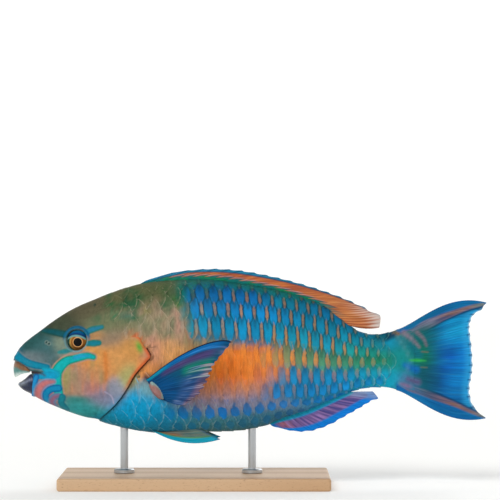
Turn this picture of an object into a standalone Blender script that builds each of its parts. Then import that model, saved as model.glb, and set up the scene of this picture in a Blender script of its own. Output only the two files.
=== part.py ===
"""A parrotfish, terminal-phase male, as a life-size still model on a plain display stand.

The fish swims level with its head towards -X. Its left side faces -Y. The floor is Z = 0, and the
origin is on the floor, midway between the snout and the tips of the tail.
Sizes below are millimetres, and MM turns them to metres where a mesh is made. Heights on the fish
are measured from its long axis, a level line through the middle of the tail.
"""
import math

import bmesh
import bpy
import numpy as np
from mathutils import Matrix, Vector

MM = 0.001
GAP = 0.3                # left between pieces that touch
TOTAL_LENGTH = 300.0     # front of the upper beak to the tips of the tail
FRONT = -TOTAL_LENGTH / 2
TAIL_TIP = TOTAL_LENGTH / 2
AXIS_HEIGHT = 79.0       # the fish's long axis above the floor

# Body, as (x, value) along the fish. The mouth is closed here, and is cut open later.
BODY_END = 97.0          # where the flesh of the tail stalk ends and the tail fin begins
BACK = [(FRONT, -1.5), (-149.2, 3.0), (-147.6, 6.6), (-144.6, 10.4), (-140.0, 14.4),
        (-133.5, 19.2), (-125.9, 24.9), (-115.7, 31.5), (-95.4, 40.6), (-70.1, 48.8), (-44.7, 51.4),
        (-27.6, 51.7), (-9.8, 49.8), (33.3, 40.1), (47.3, 34.4), (59.9, 24.7), (66.0, 20.2),
        (81.9, 16.9), (91.0, 19.3), (BODY_END, 22.3)]
BELLY = [(FRONT, -8.0), (-149.2, -11.5), (-147.0, -15.2), (-137.9, -21.8), (-120.8, -30.1),
         (-90.4, -39.7), (-75.0, -43.4), (-55.0, -45.6), (-30.0, -44.8), (0.9, -42.6),
         (11.1, -40.0), (16.2, -37.6), (35.5, -31.1), (54.9, -22.8), (64.4, -19.0),
         (80.9, -16.5), (90.0, -17.5), (BODY_END, -20.3)]
HALF_WIDTH = [(FRONT, 2.4), (-149.2, 4.4), (-146.5, 6.8), (-141.0, 9.0), (-133.0, 11.4),
              (-121.0, 14.2), (-108.0, 17.0), (-92.0, 19.4), (-75.0, 21.2), (-55.0, 22.2),
              (-35.0, 22.0), (-10.0, 20.2), (12.0, 17.2), (33.0, 13.4), (52.0, 9.8), (66.0, 7.4),
              (82.0, 5.6), (BODY_END, 4.2)]
WIDEST = [(FRONT, -4.8), (-140.0, -3.5), (-125.0, -2.0), (-100.0, 1.5), (-60.0, 4.5), (0.0, 5.0),
          (60.0, 2.0), (BODY_END, 0.8)]
ROUNDNESS = 2.05         # exponent of a section: 2 is an ellipse, more is squarer
LINE_STEPS = 4           # straight runs between two points of a smoothed line
RING_POINTS = 36
RING_STEPS = [(FRONT, 0.4), (-149.2, 0.8), (-146.0, 2.6), (-120.0, 4.0), (-60.0, 6.4), (60.0, 4.6)]

# Lines on the side of the head, as (x, height)
UPPER_LIP = [(-149.4, 0.4), (-146.0, -0.8), (-140.9, -3.9), (-138.2, -6.2)]
LOWER_LIP = [(-138.2, -6.8), (-137.3, -10.5), (-138.3, -15.5), (-138.5, -19.8)]
MOUTH_CORNER = (-129.7, -6.4)
JAW_REAR = [(-138.4, -6.5), (-135.4, -6.7), MOUTH_CORNER, (-125.5, -12.0), (-122.0, -20.0), (-119.5, -34.0)]
GILL_OPENING = [(-77.7, 62.0), (-76.0, 38.0), (-74.0, 18.4), (-69.6, 15.6), (-67.0, 11.0),
                (-62.8, 4.2), (-65.0, 0.6), (-72.3, -7.6), (-77.6, -16.6), (-84.3, -25.8),
                (-92.5, -33.9), (-97.3, -37.2), (-100.5, -50.0)]
GILL_TOP = 2             # first and last point of GILL_OPENING along the gill cover's rear edge
GILL_FOOT = 10
GILL_FRONT = [(-96.5, -32.0), (-91.5, -20.0), (-90.3, -6.0), (-90.0, 5.0), (-88.0, 15.5),
              (-81.0, 18.6)]
GILL_THICKNESS = 2.4
GILL_RAISED = 0.5

BEAK_INSET = 0.7         # beaks stand this far inside the lips
BEAK_FORWARD = 1.0       # and reach this far further forward
BEAK_THICKNESS = 2.0
BEAK_FRONT_THICKNESS = 3.0
MOUTH_FLOOR = -18.0      # the tongue side of the beaks is hollow down to here
UPPER_BEAK = [(-149.2, 0.1), (-146.0, -1.1), (-141.2, -4.1), (-139.5, -6.6), (-142.0, -7.3),
              (-146.2, -8.5), (-149.4, -10.1), (-150.1, -8.0), (-150.3, -5.0), (-149.9, -2.0)]
LOWER_BEAK = [(-138.8, -7.8), (-142.4, -10.9), (-145.4, -13.2), (-147.6, -14.4), (-149.0, -16.0),
              (-146.0, -24.0), (-138.9, -24.0), (-138.8, -15.5), (-137.9, -10.5)]

EYE_CENTRE = (-110.0, 13.3)
EYE_RADIUS = 7.2
EYE_DEPTH = 4.8          # half the eye's thickness along its own axis
EYE_PROUD = 1.7          # how far the eye stands out of the skin
ORBIT_RIM = 1.0          # radius of the roll of skin round the eye
ORBIT_SUNK = 0.35        # how deep the roll lies, in its own radii
ORBIT_CLEAR = 0.2        # between the roll's centre line and the eye
NOSTRILS = [(-128.6, 12.2), (-127.0, 11.3)]
NOSTRIL_RADIUS = 0.55
NOSTRIL_DEPTH = 2.0

LIP_RADIUS = 1.6
LIP_SUNK = 0.6           # how deep a lip's centre line lies in the flesh, in lip radii
LIP_RAISED = 1.2         # the upper lip's centre line above the beak's root
LINE_CLEAR = 0.5         # a lip's line ends this far short of its own radius behind the snout
TAIL_STALK_START = 66.0
CUT_AHEAD = FRONT - 15   # cutting outlines reach past the fish to here
CUT_BELOW = -60.0

# Fins. A margin gives the ray tips, as (share of the way from the first ray to the last, x, height).
DORSAL_BASE = (-70.0, 63.0)
DORSAL_MARGIN = [(0.0, -64.4, 51.5), (0.05, -55.5, 54.5), (0.15, -39.0, 57.7), (0.3, -18.4, 58.7),
                 (0.45, 1.9, 56.3), (0.6, 22.8, 51.7), (0.75, 44.1, 45.5), (0.85, 59.3, 39.8),
                 (0.92, 72.0, 34.6), (0.97, 81.5, 27.8), (1.0, 81.2, 23.5)]
ANAL_BASE = (12.0, 63.0)
ANAL_MARGIN = [(0.0, 17.4, -42.0), (0.1, 23.1, -43.8), (0.25, 33.9, -44.8), (0.4, 43.4, -43.3),
               (0.55, 53.6, -38.4), (0.7, 63.1, -33.3), (0.85, 73.2, -27.6), (0.95, 80.5, -23.0),
               (1.0, 79.3, -19.8)]
CAUDAL_ROOT = [(0.0, BODY_END, 22.0), (1.0, BODY_END, -20.0)]
CAUDAL_MARGIN = [(0.0, TAIL_TIP, 36.6), (0.06, 147.3, 32.9), (0.14, 142.1, 29.7),
                 (0.22, 139.8, 25.2), (0.32, 139.1, 19.7), (0.42, 140.2, 11.4), (0.5, 140.9, 3.8),
                 (0.58, 141.0, -3.2), (0.68, 140.4, -9.5), (0.78, 139.1, -16.5),
                 (0.86, 139.3, -21.8), (0.94, 142.7, -29.2), (1.0, TAIL_TIP - 0.4, -35.1)]
PECTORAL_ROOT = [(0.0, -60.0, -9.0), (1.0, -54.5, -23.0)]
PECTORAL_PAD = 7.0       # width of the fleshy base on the flank
PECTORAL_LIFT = 2.6      # height of the fin's middle surface over the flank at its root
PECTORAL_MARGIN = [(0.0, -12.9, 11.9), (0.08, -14.3, 9.5), (0.2, -19.2, 3.2), (0.32, -22.5, -1.2),
                   (0.45, -25.0, -7.5), (0.58, -27.9, -13.3), (0.72, -32.7, -20.1),
                   (0.86, -39.1, -24.0), (1.0, -42.4, -27.4)]
PECTORAL_SPREAD = 24.0   # degrees that the fin stands off the flank
PELVIC_BASE = (-59.0, -53.6)
PELVIC_MARGIN = [(0.0, -19.7, -50.0), (0.2, -21.9, -49.2), (0.4, -25.1, -47.7), (0.6, -28.2, -46.3),
                 (0.8, -31.1, -44.7), (1.0, -33.9, -43.8)]
PELVIC_OFF_CENTRE = 5.5
PELVIC_SPREAD = 14.0     # degrees
# How far a fin's first ray bends sideways at its middle, and then its last ray
DORSAL_BOW = (0.6, -0.6)
ANAL_BOW = (-0.8, 0.0)
CAUDAL_BOW = (7.0, -5.9)
PECTORAL_BOW = (5.7, -1.5)
PELVIC_BOW = (-4.9, 0.0)
MEMBRANE = 0.27          # half the thickness of a fin between its rays
RAY_SHARE = 0.17         # half a ray's width, as a share of the space between two rays
RAY_FOOT = 0.35          # height of a ray at its sides, as a share of its crest
RAY_TAPER = 0.75         # how much of its height a ray loses towards its tip

# Stand
BASE_LENGTH = 170.0
BASE_DEPTH = 90.0
BASE_THICKNESS = 8.0
BASE_CENTRE_X = -35.0    # under the fish's centre of mass
BASE_BEVEL = 1.5
ROD_RADIUS = 2.5
ROD_FOOT_RADIUS = 6.5
ROD_FOOT_HEIGHT = 2.5
ROD_PLACES = {"stand_rod_front": -80.0, "stand_rod_rear": 1.0}
ROD_SIDES = 24


# Curves and the body's surface

def profile(knots):
    """A smooth function through (x, value) points."""
    xs, values = np.array(knots, float).T
    slopes = np.gradient(values, xs)

    def at(x):
        x = np.clip(x, xs[0], xs[-1])
        i = np.clip(np.searchsorted(xs, x) - 1, 0, len(xs) - 2)
        span = xs[i + 1] - xs[i]
        t = (x - xs[i]) / span
        u = 1 - t
        ends = values[i] * (1 + 2 * t) * u * u + values[i + 1] * t * t * (3 - 2 * t)
        return ends + span * (slopes[i] * t * u * u - slopes[i + 1] * t * t * u)

    return at


def path(knots):
    """A smooth function from a share 0 to 1 to a point (x, height), through (share, x, height)."""
    shares, xs, heights = zip(*knots)
    if len(knots) == 2:
        return lambda t: (xs[0] + (xs[1] - xs[0]) * t, heights[0] + (heights[1] - heights[0]) * t)
    x_at = profile(list(zip(shares, xs)))
    height_at = profile(list(zip(shares, heights)))
    return lambda t: (float(x_at(t)), float(height_at(t)))


back, belly, half_width, widest = map(profile, (BACK, BELLY, HALF_WIDTH, WIDEST))


def flank(x, height):
    """Half the body's width at a place on its side, or 0 past its back or belly."""
    level = widest(x)
    reach = back(x) - level if height > level else level - belly(x)
    share = min(abs(height - level) / reach, 1.0)
    return float(half_width(x) * (1 - share ** ROUNDNESS) ** (1 / ROUNDNESS))


def edge_height(x, y, upper):
    """Height of the back or the belly at a distance y from the middle plane."""
    level = widest(x)
    reach = back(x) - level if upper else belly(x) - level
    share = min(abs(y) / float(half_width(x)), 1.0)
    return float(level + reach * (1 - share ** ROUNDNESS) ** (1 / ROUNDNESS))


def flank_normal(x, height, side):
    """Unit vector out of the body at a place on its side; side is -1 for left and 1 for right."""
    step = 0.5
    along = (flank(x + step, height) - flank(x - step, height)) / (2 * step)
    up = (flank(x, height + step) - flank(x, height - step)) / (2 * step)
    return Vector((-along, side, -up)).normalized()


# Making and joining meshes

def material(name, colour, roughness, metallic=0.0):
    made = bpy.data.materials.new(name)
    made.use_nodes = True
    shader = made.node_tree.nodes["Principled BSDF"]
    shader.inputs["Base Color"].default_value = (*colour, 1.0)
    shader.inputs["Roughness"].default_value = roughness
    shader.inputs["Metallic"].default_value = metallic
    return made


def place(obj, made_of, collection):
    """Puts a finished object in its collection with its material."""
    for old in list(obj.users_collection):
        old.objects.unlink(obj)
    collection.objects.link(obj)
    obj.data.materials.clear()
    obj.data.materials.append(made_of)
    obj.data.shade_smooth()
    obj.data.set_sharp_from_angle(angle=math.radians(35))
    return obj


def mesh_object(name, points, faces):
    """An object from points in millimetres with heights above the fish's axis."""
    mesh = bpy.data.meshes.new(name)
    mesh.from_pydata([(x * MM, y * MM, (z + AXIS_HEIGHT) * MM) for x, y, z in points], [], faces)
    mesh.update()
    obj = bpy.data.objects.new(name, mesh)
    bpy.context.scene.collection.objects.link(obj)
    return obj


def baked(obj):
    """The same object with its modifiers, or its curve's bevel, made into a plain closed mesh."""
    bpy.context.view_layer.update()
    graph = bpy.context.evaluated_depsgraph_get()
    mesh = bpy.data.meshes.new_from_object(obj.evaluated_get(graph))
    mesh.transform(obj.matrix_world)
    made = bpy.data.objects.new(obj.name + "_mesh", mesh)
    bpy.context.scene.collection.objects.link(made)
    shape = bmesh.new()
    shape.from_mesh(mesh)
    bmesh.ops.remove_doubles(shape, verts=shape.verts, dist=1e-6)
    bmesh.ops.recalc_face_normals(shape, faces=shape.faces)
    if shape.calc_volume(signed=True) < 0:
        bmesh.ops.reverse_faces(shape, faces=shape.faces)
    shape.to_mesh(mesh)
    shape.free()
    name = obj.name
    bpy.data.objects.remove(obj)
    made.name = name
    return made


def largest_part(obj):
    """Drops all but the largest closed surface of a mesh."""
    shape = bmesh.new()
    shape.from_mesh(obj.data)
    left = set(shape.verts)
    islands = []
    while left:
        island, front = set(), [left.pop()]
        while front:
            vert = front.pop()
            island.add(vert)
            near = {edge.other_vert(vert) for edge in vert.link_edges} & left
            left -= near
            front.extend(near)
        islands.append(island)
    islands.sort(key=len)
    for island in islands[:-1]:
        bmesh.ops.delete(shape, geom=list(island), context="VERTS")
    shape.to_mesh(obj.data)
    shape.free()
    return obj


def combined(obj, operation, others, solver="EXACT"):
    """Cuts, joins or intersects an object with others, which are then removed."""
    for other in others:
        step = obj.modifiers.new(operation.title(), "BOOLEAN")
        step.operation = operation
        step.object = other
        step.solver = solver
    made = largest_part(baked(obj))
    for other in others:
        bpy.data.objects.remove(other)
    return made


def body_solid(name, grow=0.0, start=FRONT, end=BODY_END):
    """The whole body as a loft of rings, larger or smaller than life by grow."""
    stations = []
    for i, (x, step) in enumerate(RING_STEPS):
        stop = RING_STEPS[i + 1][0] if i + 1 < len(RING_STEPS) else BODY_END
        count = max(1, round((stop - x) / step))
        stations += [x + (stop - x) * k / count for k in range(count)]
    stations.append(BODY_END)
    stations = [x for x in stations if start < x < end]
    stations = [start, *stations, end]
    points = []
    for x in stations:
        level = float(widest(x))
        up = float(back(x)) - level + grow
        down = level - float(belly(x)) + grow
        wide = float(half_width(x)) + grow
        shifted = x - grow if x == FRONT else x + grow if x == BODY_END else x
        for k in range(RING_POINTS):
            angle = 2 * math.pi * (k + 0.5) / RING_POINTS
            c, s = math.cos(angle), math.sin(angle)
            y = wide * math.copysign(abs(c) ** (2 / ROUNDNESS), c)
            z = (up if s > 0 else down) * math.copysign(abs(s) ** (2 / ROUNDNESS), s)
            points.append((shifted, y, level + z))
    faces = []
    for ring in range(len(stations) - 1):
        for k in range(RING_POINTS):
            a = ring * RING_POINTS + k
            b = ring * RING_POINTS + (k + 1) % RING_POINTS
            faces.append((a, b, b + RING_POINTS, a + RING_POINTS))
    last = (len(stations) - 1) * RING_POINTS
    faces.append(tuple(reversed(range(RING_POINTS))))
    faces.append(tuple(range(last, last + RING_POINTS)))
    return baked(mesh_object(name, points, faces))


def smoothed(points, per_span=LINE_STEPS):
    """A line through the points with its corners eased."""
    knots = [(i / (len(points) - 1), x, height) for i, (x, height) in enumerate(points)]
    along = path(knots)
    count = (len(points) - 1) * per_span
    return [along(i / count) for i in range(count + 1)]


def shifted(points, distance):
    """The line moved to its left by a distance."""
    moved = []
    for i, (x, height) in enumerate(points):
        ahead = points[min(i + 1, len(points) - 1)]
        behind = points[max(i - 1, 0)]
        run, rise = ahead[0] - behind[0], ahead[1] - behind[1]
        length = math.hypot(run, rise)
        moved.append((x - rise / length * distance, height + run / length * distance))
    return moved


def prism(name, outline, near=-60.0, far=60.0):
    """A side outline carried across the fish from y = near to y = far."""
    curve = bpy.data.curves.new(name, "CURVE")
    curve.dimensions = "2D"
    curve.fill_mode = "BOTH"
    curve.extrude = (far - near) / 2 * MM
    line = curve.splines.new("POLY")
    line.points.add(len(outline) - 1)
    for point, (x, height) in zip(line.points, outline):
        point.co = (x * MM, (height + AXIS_HEIGHT) * MM, 0.0, 1.0)
    line.use_cyclic_u = True
    obj = bpy.data.objects.new(name, curve)
    bpy.context.scene.collection.objects.link(obj)
    obj.rotation_euler = (math.pi / 2, 0, 0)
    obj.location.y = (near + far) / 2 * MM
    return baked(obj)


def tube(name, points, radius):
    """A round bar through points (x, y, height)."""
    curve = bpy.data.curves.new(name, "CURVE")
    curve.dimensions = "3D"
    curve.bevel_depth = radius * MM
    curve.bevel_resolution = 2
    curve.use_fill_caps = True
    line = curve.splines.new("POLY")
    line.points.add(len(points) - 1)
    for point, (x, y, z) in zip(line.points, points):
        point.co = (x * MM, y * MM, (z + AXIS_HEIGHT) * MM, 1.0)
    obj = bpy.data.objects.new(name, curve)
    bpy.context.scene.collection.objects.link(obj)
    return baked(obj)


# Head, jaws, gill covers, trunk and tail stalk

def everything_behind(line, reach=260.0):
    """Outline of all that lies behind a line running down the side."""
    return [*line, (line[-1][0] + reach, line[-1][1] - 20), (line[0][0] + reach, line[0][1] + 20)]


def mouth_opening():
    """Outline of what the open mouth and the beaks take out of the head."""
    chin = LOWER_LIP[-1][0]
    return [(CUT_AHEAD, UPPER_LIP[0][1]), *smoothed(UPPER_LIP), *smoothed(LOWER_LIP),
            (chin, CUT_BELOW), (CUT_AHEAD, CUT_BELOW)]


def jaw_outline(distance):
    """Outline of the lower jaw and all in front of it, its rear edge moved forward by distance."""
    rear = shifted(smoothed(JAW_REAR), -distance)
    return [(CUT_AHEAD, rear[0][1]), *rear, (rear[-1][0], CUT_BELOW), (CUT_AHEAD, CUT_BELOW)]


def gill_outline(inset):
    """Outline of the gill cover, each edge moved inwards by inset."""
    rear = shifted(smoothed(GILL_OPENING), -inset)[LINE_STEPS * GILL_TOP:LINE_STEPS * GILL_FOOT + 1]
    front = shifted(smoothed(GILL_FRONT), -inset)
    return [*rear, *front]


def lip_tube(name, line, lift):
    """A lip, from one corner of the mouth round the front to the other."""
    side = [(x, -max(flank(x, height) - LIP_RADIUS * LIP_SUNK, 0.0), height + lift)
            for x, height in smoothed(line, 2) if x > FRONT + LIP_RADIUS + LINE_CLEAR]
    return tube(name, [*side, *[(x, -y, z) for x, y, z in reversed(side)]], LIP_RADIUS)


def eye_place(side):
    """The eye's centre and its outward direction."""
    x, height = EYE_CENTRE
    out = flank_normal(x, height, side)
    surface = Vector((x, side * flank(x, height), height))
    return surface + out * (EYE_PROUD - EYE_DEPTH), out


def eyeball(name, side, grow=0.0):
    centre, out = eye_place(side)
    bpy.ops.mesh.primitive_uv_sphere_add(segments=20, ring_count=10, radius=1)
    obj = bpy.context.object
    obj.name = name
    wide, deep = (EYE_RADIUS + grow) * MM, (EYE_DEPTH + grow) * MM
    shape = out.to_track_quat("Z", "Y").to_matrix().to_4x4() @ Matrix.Diagonal((wide, wide, deep, 1))
    obj.data.transform(shape)
    obj.location = ((centre.x) * MM, centre.y * MM, (centre.z + AXIS_HEIGHT) * MM)
    return obj


def orbit(name, side):
    """The raised rim of skin round an eye."""
    centre, out = eye_place(side)
    sunk = centre + out * (EYE_DEPTH - EYE_PROUD - ORBIT_RIM * ORBIT_SUNK)
    bpy.ops.mesh.primitive_torus_add(major_segments=24, minor_segments=8,
                                     major_radius=(EYE_RADIUS + ORBIT_CLEAR) * MM,
                                     minor_radius=ORBIT_RIM * MM)
    obj = bpy.context.object
    obj.name = name
    obj.data.transform(out.to_track_quat("Z", "Y").to_matrix().to_4x4())
    obj.location = (sunk.x * MM, sunk.y * MM, (sunk.z + AXIS_HEIGHT) * MM)
    return obj


def nostril(name, x, height, side):
    """A small pit in the snout, as a cutter."""
    out = flank_normal(x, height, side)
    bpy.ops.mesh.primitive_cylinder_add(vertices=10, radius=NOSTRIL_RADIUS * MM,
                                        depth=2 * NOSTRIL_DEPTH * MM)
    obj = bpy.context.object
    obj.name = name
    obj.data.transform(out.to_track_quat("Z", "Y").to_matrix().to_4x4())
    obj.location = (x * MM, side * flank(x, height) * MM, (height + AXIS_HEIGHT) * MM)
    return obj


def make_head():
    head = body_solid("head")
    rims = [orbit(f"orbit{side}", side) for side in (-1, 1)]
    head = combined(head, "UNION", [*rims, lip_tube("lip_upper", UPPER_LIP[::-1], LIP_RAISED)])
    recess = combined(prism("recess", gill_outline(-GAP)), "DIFFERENCE",
                      [body_solid("under_cover", -GILL_THICKNESS - GAP)])
    # The recess keeps one side only, so its mirror image cuts the other side.
    other = bpy.data.objects.new("recess_other", recess.data.copy())
    bpy.context.scene.collection.objects.link(other)
    other.data.transform(Matrix.Scale(-1, 4, (0, 1, 0)))
    other.data.flip_normals()
    cuts = [prism("mouth", mouth_opening()), prism("jaw", jaw_outline(-GAP)),
            prism("behind", everything_behind(smoothed(GILL_OPENING))), recess, other]
    for side in (-1, 1):
        cuts.append(eyeball(f"socket{side}", side, GAP))
        cuts += [nostril(f"nostril{side}_{i}", x, height, side)
                 for i, (x, height) in enumerate(NOSTRILS)]
    return combined(head, "DIFFERENCE", cuts)


def make_jaw():
    jaw = combined(body_solid("jaw_lower"), "UNION", [lip_tube("lip_lower", LOWER_LIP, 0.0)])
    jaw = combined(jaw, "INTERSECT", [prism("jaw", jaw_outline(0.0))])
    return combined(jaw, "DIFFERENCE", [prism("mouth", mouth_opening())])


def make_gill_cover(name, side):
    near, far = (-60.0, 0.0) if side < 0 else (0.0, 60.0)
    plate = combined(body_solid(name, GILL_RAISED), "INTERSECT",
                     [prism("cover", gill_outline(GAP), near, far)])
    return combined(plate, "DIFFERENCE", [body_solid("inner", -GILL_THICKNESS)])


def make_beak(name, outline):
    beak = body_solid(name, -BEAK_INSET)
    beak.data.transform(Matrix.Translation((-BEAK_FORWARD * MM, 0, 0)))
    beak = combined(beak, "INTERSECT", [prism("beak", outline)])
    gape = [(FRONT, 20), (FRONT + 30, 20), (FRONT + 30, MOUTH_FLOOR), (FRONT, MOUTH_FLOOR)]
    hollow = combined(body_solid("hollow", -BEAK_INSET - BEAK_THICKNESS,
                                 start=FRONT + BEAK_FRONT_THICKNESS),
                      "INTERSECT", [prism("gape", gape)])
    return combined(beak, "DIFFERENCE", [hollow])


def make_trunk():
    line = shifted(smoothed(GILL_OPENING), GAP)
    trunk = combined(body_solid("trunk", end=TAIL_STALK_START - GAP / 2), "INTERSECT",
                     [prism("behind", everything_behind(line))])
    return trunk


# Fins

def fin(name, margin, rays, rows, half, ray_height, notch, bow, root, sheet):
    """A fin: stout rays with thin skin between them, raised in one closed surface.

    margin(share) gives a ray's tip as (x, height). rows are the shares of a ray's length where the
    surface has points. half(share, out) is half the thickness of the skin. bow(share) bends a ray
    sideways at its middle. root(share, across) is a point (x, y, height) where the fin meets the
    body, across going from -1 to 1 through its thickness. sheet(x, height, share, out) gives how far
    the fin's middle surface lies from the middle plane of the fish, with which way is outwards.
    """
    columns = []
    for ray in range(rays):
        middle = ray / (rays - 1)
        beside = RAY_SHARE / (rays - 1)
        if ray:
            columns.append((middle - beside, RAY_FOOT, 0.0))
        columns.append((middle, 1.0, 0.0))
        if ray < rays - 1:
            columns.append((middle + beside, RAY_FOOT, 0.0))
            columns.append((middle + 0.5 / (rays - 1), 0.0, notch))
    points = {-1: [], 1: []}
    for share, crest, cut_back in columns:
        root_x, _, root_z = root(share, 0)
        tip_x, tip_z = margin(share)
        run, rise = tip_x - root_x, tip_z - root_z
        length = math.hypot(run, rise)
        for face in (-1, 1):
            points[face].append(root(share, face))
            for row in rows[1:]:
                out = row * (1 - cut_back / length)
                bulge = bow(share) * 4 * out * (1 - out)
                x = root_x + run * out - rise / length * bulge
                height = root_z + rise * out + run / length * bulge
                thick = half(share, out) + ray_height * crest * (1 - RAY_TAPER * out)
                y, side = sheet(x, height, share, out)
                points[face].append((x, y + side * face * thick, height))
    keel = [root(share, 0) for share, _, _ in columns]
    count, total = len(rows), len(columns) * len(rows)
    faces = []

    def quad(a, b, c, d):
        faces.extend([(a, b, c), (a, c, d)])

    for column in range(len(columns) - 1):
        for row in range(count - 1):
            a = column * count + row
            b, c, d = a + count, a + count + 1, a + 1
            quad(a, b, c, d)
            faces.extend([(total + a, total + c, total + b), (total + a, total + d, total + c)])
        low, high = column * count, column * count + count - 1
        middle = 2 * total + column
        quad(low, middle, middle + 1, low + count)
        quad(middle, total + low, total + low + count, middle + 1)
        quad(high, high + count, total + high + count, total + high)
    for edge, middle in ((0, 2 * total), (total - count, 2 * total + len(columns) - 1)):
        other = total + edge
        faces.extend([(middle, edge, edge + 1), (middle, edge + 1, other + 1), (middle, other + 1, other)])
        for row in range(1, count - 1):
            quad(edge + row, edge + row + 1, other + row + 1, other + row)
    return baked(mesh_object(name, points[-1] + points[1] + keel, faces))


def tapered(root_half, power=3.0):
    """Half the thickness of a fin's skin, from its fleshy root to its thin margin."""
    return lambda share, out: MEMBRANE + (root_half - MEMBRANE) * (1 - out) ** power


def middle_plane(x, height, share, out):
    return 0.0, 1


def root_along(base, root_half, upper):
    """Where a fin meets the back or the belly, following the body's round surface."""
    def at(share, across):
        x = base[0] + (base[1] - base[0]) * share
        y = across * root_half
        return x, y, edge_height(x, y, upper) + (GAP if upper else -GAP)
    return at


def make_dorsal():
    def bow(share):
        return DORSAL_BOW[0] * (1 - share) + DORSAL_BOW[1] * share
    return fin("fin_dorsal", path(DORSAL_MARGIN), 19, (0, 0.3, 0.65, 1), tapered(1.4), 0.5, 1.2, bow,
               root_along(DORSAL_BASE, 1.8, True), middle_plane)


def make_anal():
    def bow(share):
        return ANAL_BOW[0] * (1 - share) + ANAL_BOW[1] * share
    return fin("fin_anal", path(ANAL_MARGIN), 12, (0, 0.3, 0.65, 1), tapered(1.3), 0.5, 1.0, bow,
               root_along(ANAL_BASE, 1.7, False), middle_plane)


def make_caudal():
    base = path(CAUDAL_ROOT)

    def stalk_half(share):
        return max(flank(BODY_END, base(share)[1]) * 0.92, 0.9)

    def root(share, across):
        x, height = base(share)
        return x + GAP, across * stalk_half(share), height

    def half(share, out):
        return MEMBRANE + 0.15 + (stalk_half(share) - MEMBRANE) * max(0.0, 1 - 1.5 * out) ** 2

    def bow(share):
        # Only the rays in the outer third of each lobe bend.
        upper = max(0.0, 1 - share * 3.2) ** 1.3
        lower = max(0.0, 1 - (1 - share) * 3.2) ** 1.3
        return CAUDAL_BOW[0] * upper + CAUDAL_BOW[1] * lower
    return fin("fin_caudal", path(CAUDAL_MARGIN), 15, (0, 0.12, 0.3, 0.52, 0.76, 1), half, 0.45, 0.9,
               bow, root, middle_plane)


def make_pectoral(name, side):
    slope = math.tan(math.radians(PECTORAL_SPREAD))
    base = path(PECTORAL_ROOT)

    def root(share, across):
        x, height = base(share)
        x += PECTORAL_PAD * (-across - 0.4) / 2
        return x, side * (flank(x, height) + GAP), height

    def sheet(x, height, share, out):
        root_x, root_z = base(share)
        off = math.hypot(x - root_x, height - root_z)
        return side * (flank(root_x, root_z) + PECTORAL_LIFT + slope * off * (1 - 0.2 * out)), side

    def bow(share):
        return PECTORAL_BOW[0] * max(0.0, 1 - 2 * share) + PECTORAL_BOW[1] * max(0.0, 2 * share - 1)
    return fin(name, path(PECTORAL_MARGIN), 14, (0, 0.1, 0.3, 0.6, 1), tapered(1.5, 4.0), 0.4, 1.6,
               bow, root, sheet)


def make_pelvic(name, side):
    slope = math.tan(math.radians(PELVIC_SPREAD))

    def root(share, across):
        x = PELVIC_BASE[0] + (PELVIC_BASE[1] - PELVIC_BASE[0]) * share
        y = side * (PELVIC_OFF_CENTRE + 1.2 * across)
        return x, y, edge_height(x, y, False) - GAP

    def sheet(x, height, share, out):
        root_x, _, root_z = root(share, 0)
        off = math.hypot(x - root_x, height - root_z)
        return side * (PELVIC_OFF_CENTRE + slope * off), side

    def bow(share):
        return PELVIC_BOW[0] * (1 - share) ** 1.5
    return fin(name, path(PELVIC_MARGIN), 6, (0, 0.15, 0.35, 0.6, 0.8, 1), tapered(1.1), 0.4, 0.6,
               bow, root, sheet)


# Stand

def make_base():
    bpy.ops.mesh.primitive_cube_add(size=1)
    base = bpy.context.object
    base.name = "stand_base"
    base.data.transform(Matrix.Diagonal((BASE_LENGTH * MM, BASE_DEPTH * MM, BASE_THICKNESS * MM, 1)))
    base.location = (BASE_CENTRE_X * MM, 0, BASE_THICKNESS / 2 * MM)
    edge = base.modifiers.new("Bevel", "BEVEL")
    edge.width = BASE_BEVEL * MM
    edge.segments = 3
    return base


def make_rod(name, x):
    """A turned steel rod on a round foot, its top cut to the belly."""
    foot = BASE_THICKNESS + GAP
    top = AXIS_HEIGHT + float(belly(x)) + 6
    turned = [(0, top), (ROD_RADIUS, top), (ROD_RADIUS, foot + ROD_FOOT_HEIGHT),
              (ROD_FOOT_RADIUS - 0.6, foot + ROD_FOOT_HEIGHT),
              (ROD_FOOT_RADIUS, foot + ROD_FOOT_HEIGHT - 0.6), (ROD_FOOT_RADIUS, foot), (0, foot)]
    mesh = bpy.data.meshes.new(name)
    mesh.from_pydata([(r * MM, 0, z * MM) for r, z in turned],
                     [(i, i + 1) for i in range(len(turned) - 1)], [])
    rod = bpy.data.objects.new(name, mesh)
    bpy.context.scene.collection.objects.link(rod)
    rod.location.x = x * MM
    spin = rod.modifiers.new("Screw", "SCREW")
    spin.steps = spin.render_steps = ROD_SIDES
    spin.use_merge_vertices = True
    spin.merge_threshold = 1e-5
    return combined(baked(rod), "DIFFERENCE", [body_solid("belly_clearance", GAP)])


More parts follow.
